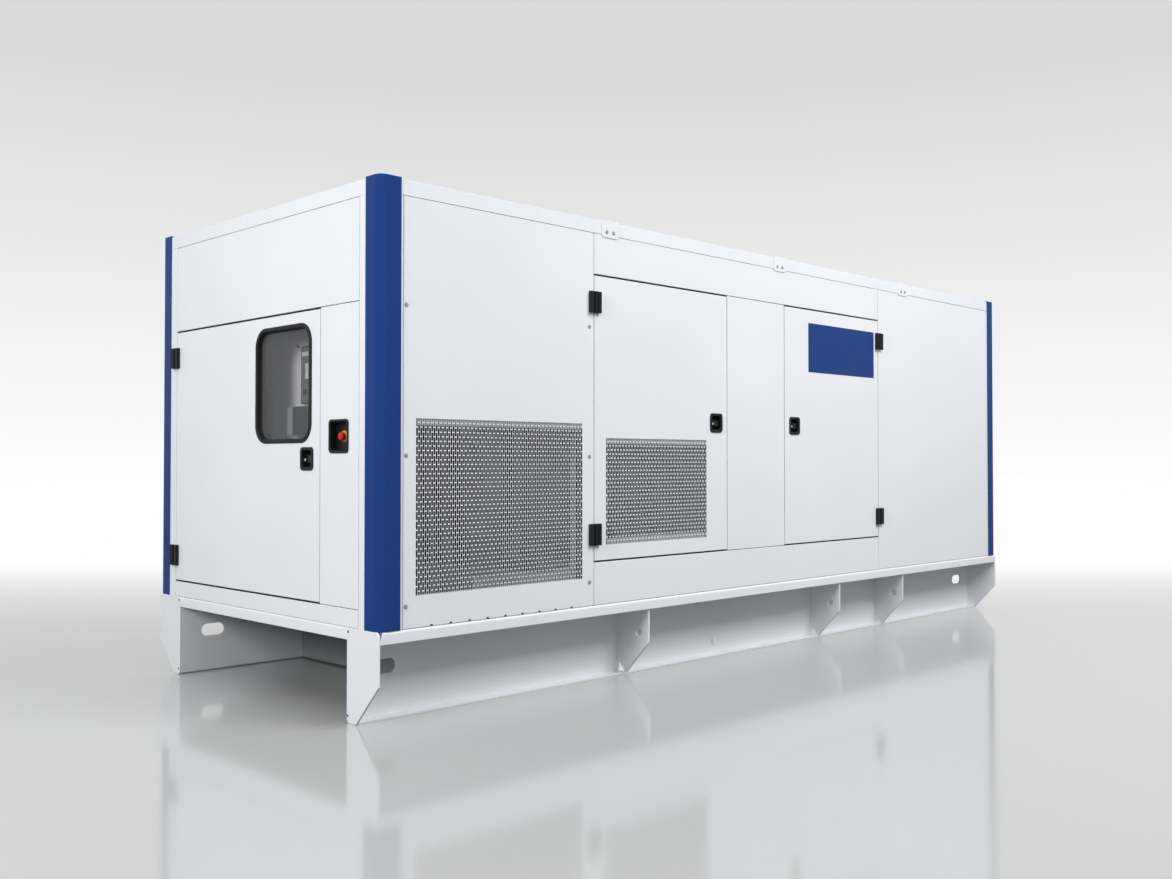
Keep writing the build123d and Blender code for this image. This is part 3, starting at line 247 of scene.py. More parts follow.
def eased_mesh(name, mesh, edge, finish, body, slot, *stands_for, segments=2, by_weight=False):
    """Turns a mesh into a shown piece whose edges are rounded by a bevel."""
    for label in ("custom_normal", "sharp_edge", "sharp_face"):
        if label in mesh.attributes:
            mesh.attributes.remove(mesh.attributes[label])
    mesh.shade_smooth()
    mesh.set_sharp_from_angle(angle=SHARP_ANGLE)
    piece = bpy.data.objects.new(name, mesh)
    bpy.context.scene.collection.objects.link(piece)
    if edge:
        bevel = piece.modifiers.new("edge", "BEVEL")
        bevel.width = edge
        bevel.segments = segments
        bevel.limit_method = "WEIGHT" if by_weight else "ANGLE"
        bevel.angle_limit = ROUNDED_ANGLE
        bevel.harden_normals = True
        bevel.use_clamp_overlap = True
    return show(piece, body, slot, finish, *stands_for)


for part in ("base_end_plates", "base_end_beams"):
    eased(part, RAIL_EDGE, white_coat)
for part in ("base_rail_front", "base_rail_rear"):
    eased(part, RAIL_EDGE, channel_coat)


def cut_away(piece, name, outline, low, high, along):
    """Cuts a prism out of a piece before its edges are rounded; the outline lies across the axis."""
    shape = bmesh.new()
    order = {"X": lambda a, b, c: (c, a, b), "Y": lambda a, b, c: (a, c, b)}[along]
    for points in outline:
        rings = [[shape.verts.new(order(a, b, level)) for a, b in points] for level in (low, high)]
        shape.faces.new(rings[0])
        shape.faces.new(rings[1][::-1])
        for step in range(len(points)):
            after = (step + 1) % len(points)
            shape.faces.new([rings[0][after], rings[0][step], rings[1][step], rings[1][after]])
    bmesh.ops.recalc_face_normals(shape, faces=shape.faces)
    cutter = bpy.data.objects.new(name, mesh_from(shape, name))
    bpy.context.scene.collection.objects.link(cutter)
    cut = piece.modifiers.new("cut", "BOOLEAN")
    cut.object = cutter
    cut.solver = "EXACT"
    piece.modifiers.move(len(piece.modifiers) - 1, 0)
    bpy.context.view_layer.objects.active = piece
    bpy.ops.object.modifier_apply(modifier=cut.name)
    bpy.data.objects.remove(cutter)


# The outer lip of each rail stops short of its ends, with a slanted cut.
LIP_END, LIP_START = 2.651, 2.630
LIP_TOP, LIP_FOOT = 0.388, 0.350
LIP_INSIDE, LIP_OUTSIDE = 0.925, 0.966
for side, name in ((-1, "base_rail_front_shown"), (1, "base_rail_rear_shown")):
    notch = [[(end * LIP_END, LIP_TOP), (end * LIP_END, LIP_FOOT), (end * LIP_START, LIP_TOP)]
             for end in (-1, 1)]
    low, high = sorted((side * LIP_INSIDE, side * LIP_OUTSIDE))
    cut_away(bpy.data.objects[name], "lip_cutter", notch, low, high, "Y")
eased("base_gussets", GUSSET_EDGE, channel_coat)
eased("base_deck", GUSSET_EDGE, deck_coat)
eased("fuel_tank", GUSSET_EDGE, deck_coat)


# Turned details: screws, plugs and key cylinders are small lathe-turned or pressed pieces. Each is one
# profile spun about its axis and set on the sheet; like pieces on one body share a mesh.
SCREW_STEEL = (0.55, 0.56, 0.57)
TURNED_SIDES = 20


def worn_metal_group():
    """Plated steel: faint grain in the shine and a little darkening in patches."""
    tree, start = new_group("worn_metal", (0.6, 0.6, 0.6), 0.35)
    colour = toned(tree, start["Colour"], spread(tree, noise(tree, 40.0, 4.0), 0.75, 1.0))
    rough = maths(tree, "ADD", start["Roughness"], spread(tree, noise(tree, 120.0, 3.0), -0.08, 0.10))
    return close_group(tree, colour, rough, bump(tree, noise(tree, 700.0, 1.0), 0.2, 0.0002))


WORN_METAL = worn_metal_group()
screw_steel = new_finish("plated_screw_steel", SCREW_STEEL, WORN_METAL, {"Roughness": 0.35}, Metallic=1.0)


def outward_frame(place, outward):
    """Gives the matrix that stands a profile's axis at a place, pointing outwards."""
    turn = Vector((0, 0, 1)).rotation_difference(Vector(outward))
    return Matrix.Translation(place) @ turn.to_matrix().to_4x4()


def spin(shape, profile, matrix, sides=TURNED_SIDES):
    """Spins a profile of (radius, height) points about its axis into a closed or open-bottomed skin."""
    rings = []
    for radius, height in profile:
        if radius < 1e-7:
            rings.append([shape.verts.new(matrix @ Vector((0, 0, height)))])
            continue
        turns = [2 * math.pi * side / sides for side in range(sides)]
        rings.append([
            shape.verts.new(matrix @ Vector((radius * math.cos(turn), radius * math.sin(turn), height)))
            for turn in turns])
    for low, high in zip(rings, rings[1:]):
        for side in range(sides):
            after = (side + 1) % sides
            corners = [ring[step % len(ring)] for ring, step in (
                (low, side), (low, after), (high, after), (high, side))]
            corners = list(dict.fromkeys(corners))
            if len(corners) > 2:
                shape.faces.new(corners)


def turned_pieces(name, profile, places, outward, finish, body, slot, sides=TURNED_SIDES):
    """Makes one mesh of equal turned pieces, each standing on its place."""
    shape = bmesh.new()
    for place in places:
        spin(shape, profile, outward_frame(place, outward), sides)
    bmesh.ops.recalc_face_normals(shape, faces=shape.faces)
    return eased_mesh(name, mesh_from(shape, name), 0, finish, body, slot)


FACE_X = -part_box("end_header")[0].x
FACE_Y = -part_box("front_header")[0].y
FACE_END = -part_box("base_end_plates")[0].x
HALF_Y = -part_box("base_end_plates")[0].y
RAIL_WEB_Y = 0.750

# Plugs: two round steel plugs close test holes in the front rail's web. Small black discs in the relief holes
# in the inner corners of the near end plates are painted shade: they make the holes read dark.
PLUG_PROFILE = ((0.021, 0.0), (0.021, 0.005), (0.018, 0.008), (0.0, 0.009))
PLUG_PLACES = [(-0.444, -RAIL_WEB_Y, 0.270), (-0.298, -RAIL_WEB_Y, 0.073)]
turned_pieces("rail_web_plugs", PLUG_PROFILE, PLUG_PLACES, (0, -1, 0), white_coat, "enclosure", "white_paint")
# Painted shade: flat black discs, as wide as the relief holes, make the holes read dark.
END_HOLE_SHADE_PROFILE = ((0.0055, 0.0), (0.0055, 0.0006), (0.0045, 0.0010), (0.0, 0.0010))
END_HOLE_SHADE_Y = 0.752
END_HOLE_SHADE_LEVELS = (0.370, 0.030)
hole_shade_black = new_finish("painted_hole_shade_black", (0.022, 0.022, 0.024), POWDER_COAT, {"Roughness": 0.5})
turned_pieces("end_plate_painted_hole_shade", END_HOLE_SHADE_PROFILE,
              [(-FACE_END, side * END_HOLE_SHADE_Y, z) for side in (-1, 1) for z in END_HOLE_SHADE_LEVELS],
              (-1, 0, 0), hole_shade_black, "enclosure", "black_plastic")


# Frame: square tubes and folded uprights stand on the deck behind the panels and carry the roof. They
# are painted grey, and the corner uprights white.
TUBE_EDGE = 0.002
for part in ("door_uprights", "end_uprights", "roof_frame", "machinery_skids"):
    eased(part, TUBE_EDGE, deck_coat)
eased("corner_uprights", TUBE_EDGE, white_coat)


# Corner trims: rounded angles pressed from sheet cover the four corners, closed on top by a lid, in a
# deep blue powder coat.
BLUE = (0.013, 0.050, 0.215)
blue_coat = new_finish("blue_powder_coat", BLUE, POWDER_COAT, {"Dust amount": 0.06, "Roughness": 0.45},
                       Specular_IOR_Level=0.12)
TRIM_EDGE = 0.0015
eased("corner_trims", TRIM_EDGE, blue_coat)


# Roof: four folded pans lie on the frame, and a strap with two screws holds each joint at both eaves.
ROOF_EDGE = 0.006
eased("roof_sections", ROOF_EDGE, white_coat, segments=4)
eased("roof_clamps", TRIM_EDGE, white_coat)
CLAMP_CENTRES = (-1.343, 0.032, 1.379)
CLAMP_SCREW_OFFSET = 0.023
CLAMP_SCREW_Z = 2.150
SCREW_FLATNESS = 0.9
SCREW_PROFILE = [(radius, height * SCREW_FLATNESS) for radius, height in (
    (0.0095, 0.0), (0.0095, 0.0012), (0.0075, 0.0012), (0.0070, 0.003), (0.0045, 0.0038), (0.0, 0.004))]
for side, name in ((-1, "front"), (1, "rear")):
    spots = [(x + shift, side * HALF_Y, CLAMP_SCREW_Z)
             for x in CLAMP_CENTRES for shift in (-CLAMP_SCREW_OFFSET, CLAMP_SCREW_OFFSET)]
    turned_pieces(name + "_roof_clamp_screws", SCREW_PROFILE, spots, (0, side, 0),
                  screw_steel, "enclosure", "core_metal")


# Plain panels: sheet trays lined with acoustic foam close the long sides and the ends. Their folded
# edges have a small bend radius, so every seam shows a soft line.
PANEL_EDGE = 0.0025
for part in ("front_header", "front_sill", "front_middle_panel", "front_right_panel", "rear_wall_panels",
             "end_header", "end_sill", "end_side_panel", "front_door_2", "end_door"):
    eased(part, PANEL_EDGE, white_coat, segments=3)
PLATE_EDGE = 0.0008
eased("name_plate", PLATE_EDGE, blue_coat)


# Punched air grilles: the sheet of the intake panels, of the first doors and of the far end is punched
# with columns of upright slots with small rounded corners, each column half a pitch off its neighbours.
# The lining is left out behind them.
GRILLE_SKIN = 0.0008
PANEL_DEPTH = 0.040
SLOT_HALF_WIDTH = 0.0048
SLOT_HALF_HEIGHT = 0.0166
SLOT_CORNER = 0.0018
COLUMN_PITCH = 0.01112
ROW_PITCH = 0.03806
SLOT_CORNER_STEPS = 2
WALLS = {
    "front": lambda u, z, depth: Vector((u, -FACE_Y + depth, z)),
    "rear": lambda u, z, depth: Vector((u, FACE_Y - depth, z)),
    "far_end": lambda u, z, depth: Vector((FACE_X - depth, u, z)),
    "control_end": lambda u, z, depth: Vector((-FACE_X + depth, u, z)),
}


def slot_outline(u, z, half_height):
    """Gives the points of one slot, from its right side over the upper end to the left and back."""
    reach_u, reach_z = SLOT_HALF_WIDTH - SLOT_CORNER, half_height - SLOT_CORNER
    points = []
    for quarter, (side, level) in enumerate(((1, 1), (-1, 1), (-1, -1), (1, -1))):
        for step in range(SLOT_CORNER_STEPS + 1):
            turn = math.pi / 2 * (quarter + step / SLOT_CORNER_STEPS)
            points.append((u + side * reach_u + SLOT_CORNER * math.cos(turn),
                           z + level * reach_z + SLOT_CORNER * math.sin(turn)))
    return points


class WallMesh:
    """Collects the plates of one wall, given as places on the wall and depths behind its face."""

    def __init__(self, wall, front=0.0, back=PANEL_DEPTH):
        self.place = WALLS[wall]
        self.flip = wall in ("rear", "control_end")
        self.front = front
        self.back = back
        self.shape = bmesh.new()
        self.known = {}
        self.rims = []

    def corner(self, u, z, depth):
        key = (round(u, 6), round(z, 6), round(depth, 6))
        if key not in self.known:
            self.known[key] = self.shape.verts.new(self.place(*key))
        return self.known[key]

    def face(self, corners):
        corners = corners if not self.flip else corners[::-1]
        return self.shape.faces.new([self.corner(*corner) for corner in corners])

    def slab(self, u_span, z_span, windows):
        """Adds a plate with rectangular windows cut through it."""
        us = sorted({*u_span, *(edge for window in windows for edge in window[0])})
        zs = sorted({*z_span, *(edge for window in windows for edge in window[1])})
        front, back = self.front, self.back

        def solid(i, j):
            if not (0 <= i < len(us) - 1 and 0 <= j < len(zs) - 1):
                return False
            u, z = (us[i] + us[i + 1]) / 2, (zs[j] + zs[j + 1]) / 2
            return not any(w[0][0] < u < w[0][1] and w[1][0] < z < w[1][1] for w in windows)

        for i in range(len(us) - 1):
            for j in range(len(zs) - 1):
                if not solid(i, j):
                    continue
                u0, u1, z0, z1 = us[i], us[i + 1], zs[j], zs[j + 1]
                self.face([(u0, z0, front), (u1, z0, front), (u1, z1, front), (u0, z1, front)])
                self.face([(u0, z1, back), (u1, z1, back), (u1, z0, back), (u0, z0, back)])
                sides = (((i, j - 1), (u1, z0), (u0, z0)), ((i, j + 1), (u0, z1), (u1, z1)),
                         ((i - 1, j), (u0, z0), (u0, z1)), ((i + 1, j), (u1, z1), (u1, z0)))
                for beside, a, b in sides:
                    if not solid(*beside):
                        self.face([(*a, front), (*b, front), (*b, back), (*a, back)])
        self.rims.append((u_span, z_span))

    def slots(self, u_span, z_span):
        """Adds the skin of one window; every second column begins and ends with a half slot."""
        columns = round((u_span[1] - u_span[0]) / COLUMN_PITCH)
        rows = round((z_span[1] - z_span[0]) / ROW_PITCH)
        width = (u_span[1] - u_span[0]) / columns
        pitch = (z_span[1] - z_span[0]) / rows
        short = SLOT_HALF_HEIGHT - pitch / 4
        for column in range(columns):
            u0 = u_span[0] + column * width
            u1 = u0 + width
            cuts = [z_span[1] - row * pitch for row in range(rows + 1)]
            if column % 2:
                cuts = [z_span[1], *(cut - pitch / 2 for cut in cuts[:-1]), z_span[0]]
            for top, low in zip(cuts, cuts[1:]):
                half_height = SLOT_HALF_HEIGHT if top - low > pitch * 0.75 else short
                self.slot_tile(u0, u1, low, top, half_height)

    def slot_tile(self, u0, u1, z0, z1, half_height):
        """Adds the skin around one slot as a left and a right half, with the slot's own walls."""
        u, z = (u0 + u1) / 2, (z0 + z1) / 2
        ring = slot_outline(u, z, half_height)
        half = len(ring) // 2
        quarter = half // 2
        mid_top = (u, z + half_height)
        mid_low = (u, z - half_height)
        upper, lower = ring[:half], ring[half:]
        right = [mid_low, *lower[quarter + half % 2:], *upper[:quarter], mid_top]
        left = [mid_top, *upper[quarter + half % 2:], *lower[:quarter], mid_low]
        for depth in (0, GRILLE_SKIN):
            right_face = [(u, z0), (u1, z0), (u1, z1), (u, z1), *right[::-1]]
            left_face = [(u, z1), (u0, z1), (u0, z0), (u, z0), *left[::-1]]
            for outline in (right_face, left_face):
                corners = [(*point, depth) for point in outline]
                self.face(corners if depth == 0 else corners[::-1])
        loop = [*right, *left[1:-1]]
        for a, b in zip(loop, loop[1:] + loop[:1]):
            self.face([(*a, 0), (*a, GRILLE_SKIN), (*b, GRILLE_SKIN), (*b, 0)][::-1])

    def finish(self, name, edge, finish, body, slot, *stands_for):
        """Rounds the outer edges of the plates only, and shows them as one piece."""
        self.shape.normal_update()
        weight = self.shape.edges.layers.float.new("bevel_weight_edge")
        keys_of = {vert: key for key, vert in self.known.items()}
        for line in self.shape.edges:
            keys = [keys_of[vert] for vert in line.verts]
            for (u_low, u_high), (z_low, z_high) in self.rims:
                along_rim = any(all(abs(key[axis] - value) < SAME_PLACE for key in keys)
                                for axis, value in ((0, u_low), (0, u_high), (1, z_low), (1, z_high)))
                at_face = all(key[2] < self.front + SAME_PLACE for key in keys)
                at_corner = keys[0][2] != keys[1][2] and all(
                    min(abs(key[0] - u_low), abs(key[0] - u_high)) < SAME_PLACE
                    and min(abs(key[1] - z_low), abs(key[1] - z_high)) < SAME_PLACE for key in keys)
                if along_rim and (at_face or at_corner):
                    line[weight] = 1.0
        return eased_mesh(name, mesh_from(self.shape, name), edge, finish, body, slot, *stands_for,
                          segments=3, by_weight=True)


def outline_of(node, wall):
    """Gives the width and height spans of a CAD panel on its wall."""
    low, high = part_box(node)
    return ((low.y, high.y) if wall.endswith("end") else (low.x, high.x)), (low.z, high.z)


def around(u, z, half_u, half_z):
    """Gives the width and height spans about a middle."""
    return (u - half_u, u + half_u), (z - half_z, z + half_z)


INTAKE_WINDOW = ((-2.478, -1.526), (0.515, 1.239))
DOOR_WINDOW = ((-1.369, -0.617), (0.664, 1.174))
FAR_WINDOW = ((-0.476, 0.476), INTAKE_WINDOW[1])
LATCH_HALF = 0.0413
LATCH_1 = (-0.538, 1.262)
LATCH_2 = (0.172, 1.262)
latch_cut_1, latch_cut_2 = (around(*latch, LATCH_HALF, LATCH_HALF) for latch in (LATCH_1, LATCH_2))
DOOR_1_SPANS = outline_of("front_door_1", "front")
DOOR_2_SPANS = outline_of("front_door_2", "front")


def grille_panel(node, wall, grille, *cuts):
    """Builds one punched panel on its wall."""
    panel = WallMesh(wall)
    panel.slab(*outline_of(node, wall), [grille, *cuts])
    panel.slots(*grille)
    return panel.finish(node + "_shown", PANEL_EDGE, white_coat, body_of(node), slot_of(node), node)


DRAIN_FIRST, DRAIN_PITCH, DRAIN_WIDTH, DRAIN_TOP = -2.403, 0.100, 0.014, 0.395
DRAIN_COUNT = 9
INTAKE_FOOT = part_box("front_intake_panel")[0].z
drain_starts = [DRAIN_FIRST + DRAIN_PITCH * step for step in range(DRAIN_COUNT)]
drains = [((start, start + DRAIN_WIDTH), (INTAKE_FOOT, DRAIN_TOP)) for start in drain_starts]
grille_panel("front_intake_panel", "front", INTAKE_WINDOW, *drains)
grille_panel("rear_intake_panel", "rear", INTAKE_WINDOW, *drains)
grille_panel("far_end_panel", "far_end", FAR_WINDOW)
grille_panel("front_door_1", "front", DOOR_WINDOW, latch_cut_1)

# Rear doors: the same two doors on the other long side, one with the grille; both stay shut.
rear_pair = WallMesh("rear")
rear_pair.slab(*DOOR_1_SPANS, [DOOR_WINDOW, latch_cut_1])
rear_pair.slots(*DOOR_WINDOW)
rear_pair.slab(*DOOR_2_SPANS, [latch_cut_2])
rear_pair.finish("rear_doors_shown", PANEL_EDGE, white_coat, "enclosure", slot_of("rear_doors"),
                 "rear_doors")


# Grille stiffeners: folded strips spot-welded behind the upper edge of each grille, and behind the lower
# edge of the door grilles, so the thin punched skin doesn't drum.
STIFFENER_FRONT = 0.006
STIFFENER_BACK = 0.030
STIFFENER_REACH = 0.030
STRIP_EDGE = 0.001


def stiffeners(name, wall, body, *spans):
    """Makes the strips of one wall."""
    strips = WallMesh(wall, STIFFENER_FRONT, STIFFENER_BACK)
    for u_span, z_span in spans:
        strips.slab(u_span, z_span, [])
    return strips.finish(name, STRIP_EDGE, deck_coat, body, "grey_paint")


def edge_strip(window, at_top):
    """Gives the outline of the strip inside the upper or the lower edge of a grille window."""
    u_span, (z_low, z_high) = window
    return u_span, (z_high - STIFFENER_REACH, z_high) if at_top else (z_low, z_low + STIFFENER_REACH)


door_strips = [edge_strip(DOOR_WINDOW, False), edge_strip(DOOR_WINDOW, True)]
stiffeners("front_intake_stiffener", "front", "enclosure", edge_strip(INTAKE_WINDOW, True))
stiffeners("front_door_1_stiffeners", "front", "front_door_1", *door_strips)
stiffeners("rear_stiffeners", "rear", "enclosure", edge_strip(INTAKE_WINDOW, True), *door_strips)
stiffeners("far_end_stiffener", "far_end", "enclosure", edge_strip(FAR_WINDOW, True))


# Panel screws: six pan-head screws hold each intake panel to the frame.
PANEL_SCREW_PLACES = [(x, z) for x, levels in (
    (-2.527, (1.693, 1.084, 0.477)), (-1.480, (1.690, 1.083, 0.497))) for z in levels]
for side, name in ((-1, "front"), (1, "rear")):
    turned_pieces(name + "_panel_screws", SCREW_PROFILE,
                  [(x, side * FACE_Y, z) for x, z in PANEL_SCREW_PLACES], (0, side, 0),
                  screw_steel, "enclosure", "core_metal")


# Foam linings: pads of dark acoustic foam glued inside the folded edges of every panel and door, cut out
# behind the grilles, the window and the latches.
FOAM_GREY = (0.035, 0.036, 0.038)
FOAM_INSET = 0.030
FOAM_FRONT = 0.034
FOAM_BACK = 0.0395
FOAM_EDGE = 0.0015
CUT_MARGIN = 0.012


def foam_group():
    """Open-celled foam: dark pores in a rough grey face."""
    tree, start = new_group("acoustic_foam", (0.04, 0.04, 0.04), 0.95)
    pores = add_node(tree, "ShaderNodeTexVoronoi", inputs={
        "Vector": object_place(tree), "Scale": 350.0}).outputs["Distance"]
    colour = toned(tree, start["Colour"], ranged(tree, pores, 0.1, 0.6, 0.45, 1.1))
    rough = maths(tree, "ADD", start["Roughness"], spread(tree, noise(tree, 15.0), -0.05, 0.04))
    return close_group(tree, colour, rough, bump(tree, pores, 0.6, 0.001))


FOAM = foam_group()
lining_foam = new_finish("dark_lining_foam", FOAM_GREY, FOAM, {"Roughness": 0.92})


def shrunk(spans, inset):
    """Draws in a pair of width and height spans on all sides."""
    return tuple((low + inset, high - inset) for low, high in spans)


def foam_pads(name, wall, body, slot, *pads, foam_finish=lining_foam):
    """Makes the foam pads of one body on one wall, each given as its outline and its cut-outs."""
    foam = WallMesh(wall, FOAM_FRONT, FOAM_BACK)
    for outline, *cuts in pads:
        foam.slab(*shrunk(outline, FOAM_INSET), [shrunk(cut, -CUT_MARGIN) for cut in cuts])
    return foam.finish(name, FOAM_EDGE, foam_finish, body, slot)


CHEEK_THICKNESS = 0.006
CHEEK_FRONT = 0.0015
CHEEK_SIDE_GAP = 0.0005
CHEEK_END_GAP = 0.001


def foam_cheeks(name, wall, body, *windows):
    """Makes the strips that turn the lining in along both sides of each grille."""
    cheeks = WallMesh(wall, CHEEK_FRONT, FOAM_BACK)
    for (u_low, u_high), (z_low, z_high) in windows:
        z_span = (z_low + CHEEK_END_GAP, z_high - STIFFENER_REACH - CHEEK_END_GAP)
        for low in (u_low + CHEEK_SIDE_GAP, u_high - CHEEK_THICKNESS - CHEEK_SIDE_GAP):
            cheeks.slab((low, low + CHEEK_THICKNESS), z_span, [])
    return cheeks.finish(name, 0, lining_foam, body, "rubber")


wall_outlines = [outline_of(part, "front") for part in (
    "front_header", "front_sill", "front_middle_panel", "front_right_panel")]
intake_outline = outline_of("front_intake_panel", "front")
foam_pads("front_wall_foam", "front", "enclosure", "rubber",
          (intake_outline, INTAKE_WINDOW), *((outline,) for outline in wall_outlines))
foam_pads("rear_wall_foam", "rear", "enclosure", "rubber",
          (intake_outline, INTAKE_WINDOW), *((outline,) for outline in wall_outlines),
          (DOOR_1_SPANS, DOOR_WINDOW, latch_cut_1), (DOOR_2_SPANS, latch_cut_2))
foam_pads("front_door_1_foam", "front", "front_door_1", "rubber", (DOOR_1_SPANS, DOOR_WINDOW, latch_cut_1))
foam_pads("front_door_2_foam", "front", "front_door_2", "rubber", (DOOR_2_SPANS, latch_cut_2))
foam_pads("far_end_foam", "far_end", "enclosure", "rubber",
          (outline_of("far_end_panel", "far_end"), FAR_WINDOW))
foam_cheeks("front_wall_cheeks", "front", "enclosure", INTAKE_WINDOW)
foam_cheeks("front_door_1_cheeks", "front", "front_door_1", DOOR_WINDOW)
foam_cheeks("rear_wall_cheeks", "rear", "enclosure", INTAKE_WINDOW, DOOR_WINDOW)
foam_cheeks("far_end_cheeks", "far_end", "enclosure", FAR_WINDOW)

# The control space is lined with a pale copy of the dark lining foam; its paleness is painted light that
# brightens the space behind the window.
painted_light_foam = new_finish("painted_light_lining_foam", (0.42, 0.42, 0.43), FOAM, {"Roughness": 0.92})

END_LATCH = (-0.428, 1.072)
STOP_MIDDLE = (-0.673, 1.165)
STOP_CUT_HALF = (0.068, 0.066)
window_low, window_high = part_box("window_gasket")
window_cut = ((window_low.y, window_high.y), (window_low.z, window_high.z))
foam_pads("end_wall_foam", "control_end", "enclosure", "rubber",
          (outline_of("end_header", "control_end"),),
          (outline_of("end_side_panel", "control_end"), around(*STOP_MIDDLE, *STOP_CUT_HALF)),
          foam_finish=painted_light_foam)
foam_pads("end_door_foam", "control_end", "end_door", "rubber",
          (outline_of("end_door", "control_end"), window_cut, around(*END_LATCH, LATCH_HALF, LATCH_HALF)),
          foam_finish=painted_light_foam)


# Air baffle: a foam-faced sheet stands on the deck inside the rear grilles, so no sound or light passes
# straight through the enclosure. Its near-black face is also painted shade for the dark interior seen through
# the grilles.
BAFFLE_DEPTHS = (0.330, 0.352)
BAFFLE_SPAN = (-2.490, -0.585)
BAFFLE_TOP = 1.420
BAFFLE_EDGE = 0.003
baffle = WallMesh("rear", *BAFFLE_DEPTHS)
baffle.slab(BAFFLE_SPAN, (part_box("base_deck")[1].z, BAFFLE_TOP), [])
baffle.finish("air_baffle_and_painted_shade", BAFFLE_EDGE, lining_foam, "enclosure", "rubber")


# Seals: black rubber strips pressed into the frame close the gap above and below every door; set at the
# front of the gap, their black is also painted shade in the gap. A flat black strip right behind each row of
# drain notches is painted shade that makes the notches read dark.
REVEAL = 0.008
SEAL_HALF = 0.003
SEAL_FRONT = 0.003
SEAL_BACK = 0.030
DRAIN_SHADE_DEPTHS = (0.002, 0.008)
DRAIN_SHADE_LAP = 0.010
DRAIN_SHADE_LOW, DRAIN_SHADE_HIGH = 0.001, 0.005
seal_rubber_and_painted_shade = new_finish("black_seal_rubber_and_painted_shade", (0.010, 0.010, 0.011), FOAM, {"Roughness": 0.75})


def door_seals_and_gap_shade(name, wall, *spans):
    """Makes the strips above and below the doors of one wall; their black at the front of each gap is partly
    painted shade.
    """
    strips = WallMesh(wall, SEAL_FRONT, SEAL_BACK)
    for (u_low, u_high), (z_low, z_high) in spans:
        for middle in (z_low - REVEAL / 2, z_high + REVEAL / 2):
            strips.slab((u_low, u_high), (middle - SEAL_HALF, middle + SEAL_HALF), [])
    return strips.finish(name, STRIP_EDGE, seal_rubber_and_painted_shade, "enclosure", "rubber")


# Painted shade: a flat black strip right behind the drain notches makes them read dark.
for wall in ("front", "rear"):
    strip = WallMesh(wall, *DRAIN_SHADE_DEPTHS)
    strip.slab((drains[0][0][0] - DRAIN_SHADE_LAP, drains[-1][0][1] + DRAIN_SHADE_LAP),
               (INTAKE_FOOT + DRAIN_SHADE_LOW, DRAIN_TOP + DRAIN_SHADE_HIGH), [])
    strip.finish(wall + "_drain_painted_shade", 0, seal_rubber_and_painted_shade, "enclosure", "rubber")
door_seals_and_gap_shade("front_door_seals_gap_shade", "front", DOOR_1_SPANS, DOOR_2_SPANS)
door_seals_and_gap_shade("rear_door_seals_gap_shade", "rear", DOOR_1_SPANS, DOOR_2_SPANS)
door_seals_and_gap_shade("end_door_seals_gap_shade", "control_end", outline_of("end_door", "control_end"))


# Hinges: cast zinc blocks in black, one leaf on the frame and one on the door, on a steel pin.
BLACK = (0.010, 0.011, 0.012)
black_coat = new_finish("black_hinge_coat", BLACK, POWDER_COAT,
                        {"Dust amount": 0.04, "Roughness": 0.42, "Peel": 0.3}, Specular_IOR_Level=0.2)
HINGE_EDGE = 0.002
for part in ("hinge_frame_leaves", "front_door_1_hinges", "front_door_2_hinges", "end_door_hinges",
             "rear_hinge_leaves"):
    eased(part, HINGE_EDGE, black_coat, segments=3)


# Latches: moulded black housings with a dished pocket, a paddle lever on a cross pin and a key cylinder.
def moulded_group():
    """Moulded plastic: a fine grain, and a shine that varies a little where hands rub it."""
    tree, start = new_group("moulded_plastic", (0.02, 0.02, 0.02), 0.45)
    colour = toned(tree, start["Colour"], spread(tree, noise(tree, 30.0, 3.0), 0.85, 1.15))
    rough = maths(tree, "ADD", start["Roughness"], spread(tree, noise(tree, 22.0, 3.0), -0.06, 0.08))
    return close_group(tree, colour, rough, bump(tree, noise(tree, 1400.0, 1.0), 0.25, 0.0002))


MOULDED = moulded_group()
black_plastic = new_finish("black_latch_plastic", BLACK, MOULDED, {"Roughness": 0.40},
                           Specular_IOR_Level=0.22)
LATCH_EDGE = 0.0012
LEVER_EDGE = 0.0015
for part in ("front_door_1_latch", "front_door_2_latch", "end_door_latch", "rear_latches"):
    eased(part, LATCH_EDGE, black_plastic)
eased("stop_housing", 0, black_plastic)
for part in ("front_door_1_lever", "front_door_2_lever", "end_door_lever", "rear_levers"):
    eased(part, LEVER_EDGE, black_plastic)


# Window: a tinted pane held in a black rubber ring that laps over the door sheet.
GLASS_TINT = (0.30, 0.305, 0.315)
rubber = new_finish("window_rubber", (0.024, 0.024, 0.025), MOULDED, {"Roughness": 0.62},
                    Specular_IOR_Level=0.2)
WINDOW_OUTER = ((-0.463, 0.007), (1.140, 1.658))
RING_CORNER = 0.085
HOLE_INSET = 0.0067
HOLE_CORNER = 0.070
RING_PROFILE = ((0.0, 0.0), (0.0, 0.0035), (0.0012, 0.0055), (0.0040, 0.0062), (0.0150, 0.0062),
                (0.0178, 0.0055), (0.0190, 0.0035), (0.0190, -0.0340), (0.0085, -0.0340), (0.0085, 0.0))
PANE_INSET = 0.013


def window_loop(inset, corner, steps=10):
    """Gives the rounded outline that lies inside the outer edge of the ring by the inset."""
    (y_low, y_high), (z_low, z_high) = [
        (low + inset + corner, high - inset - corner) for low, high in WINDOW_OUTER]
    points = []
    for quarter, (y, z) in enumerate(((y_high, z_high), (y_low, z_high), (y_low, z_low), (y_high, z_low))):
        for step in range(steps + 1):
            turn = math.pi / 2 * (quarter + step / steps)
            points.append((y + corner * math.cos(turn), z + corner * math.sin(turn)))
    return points


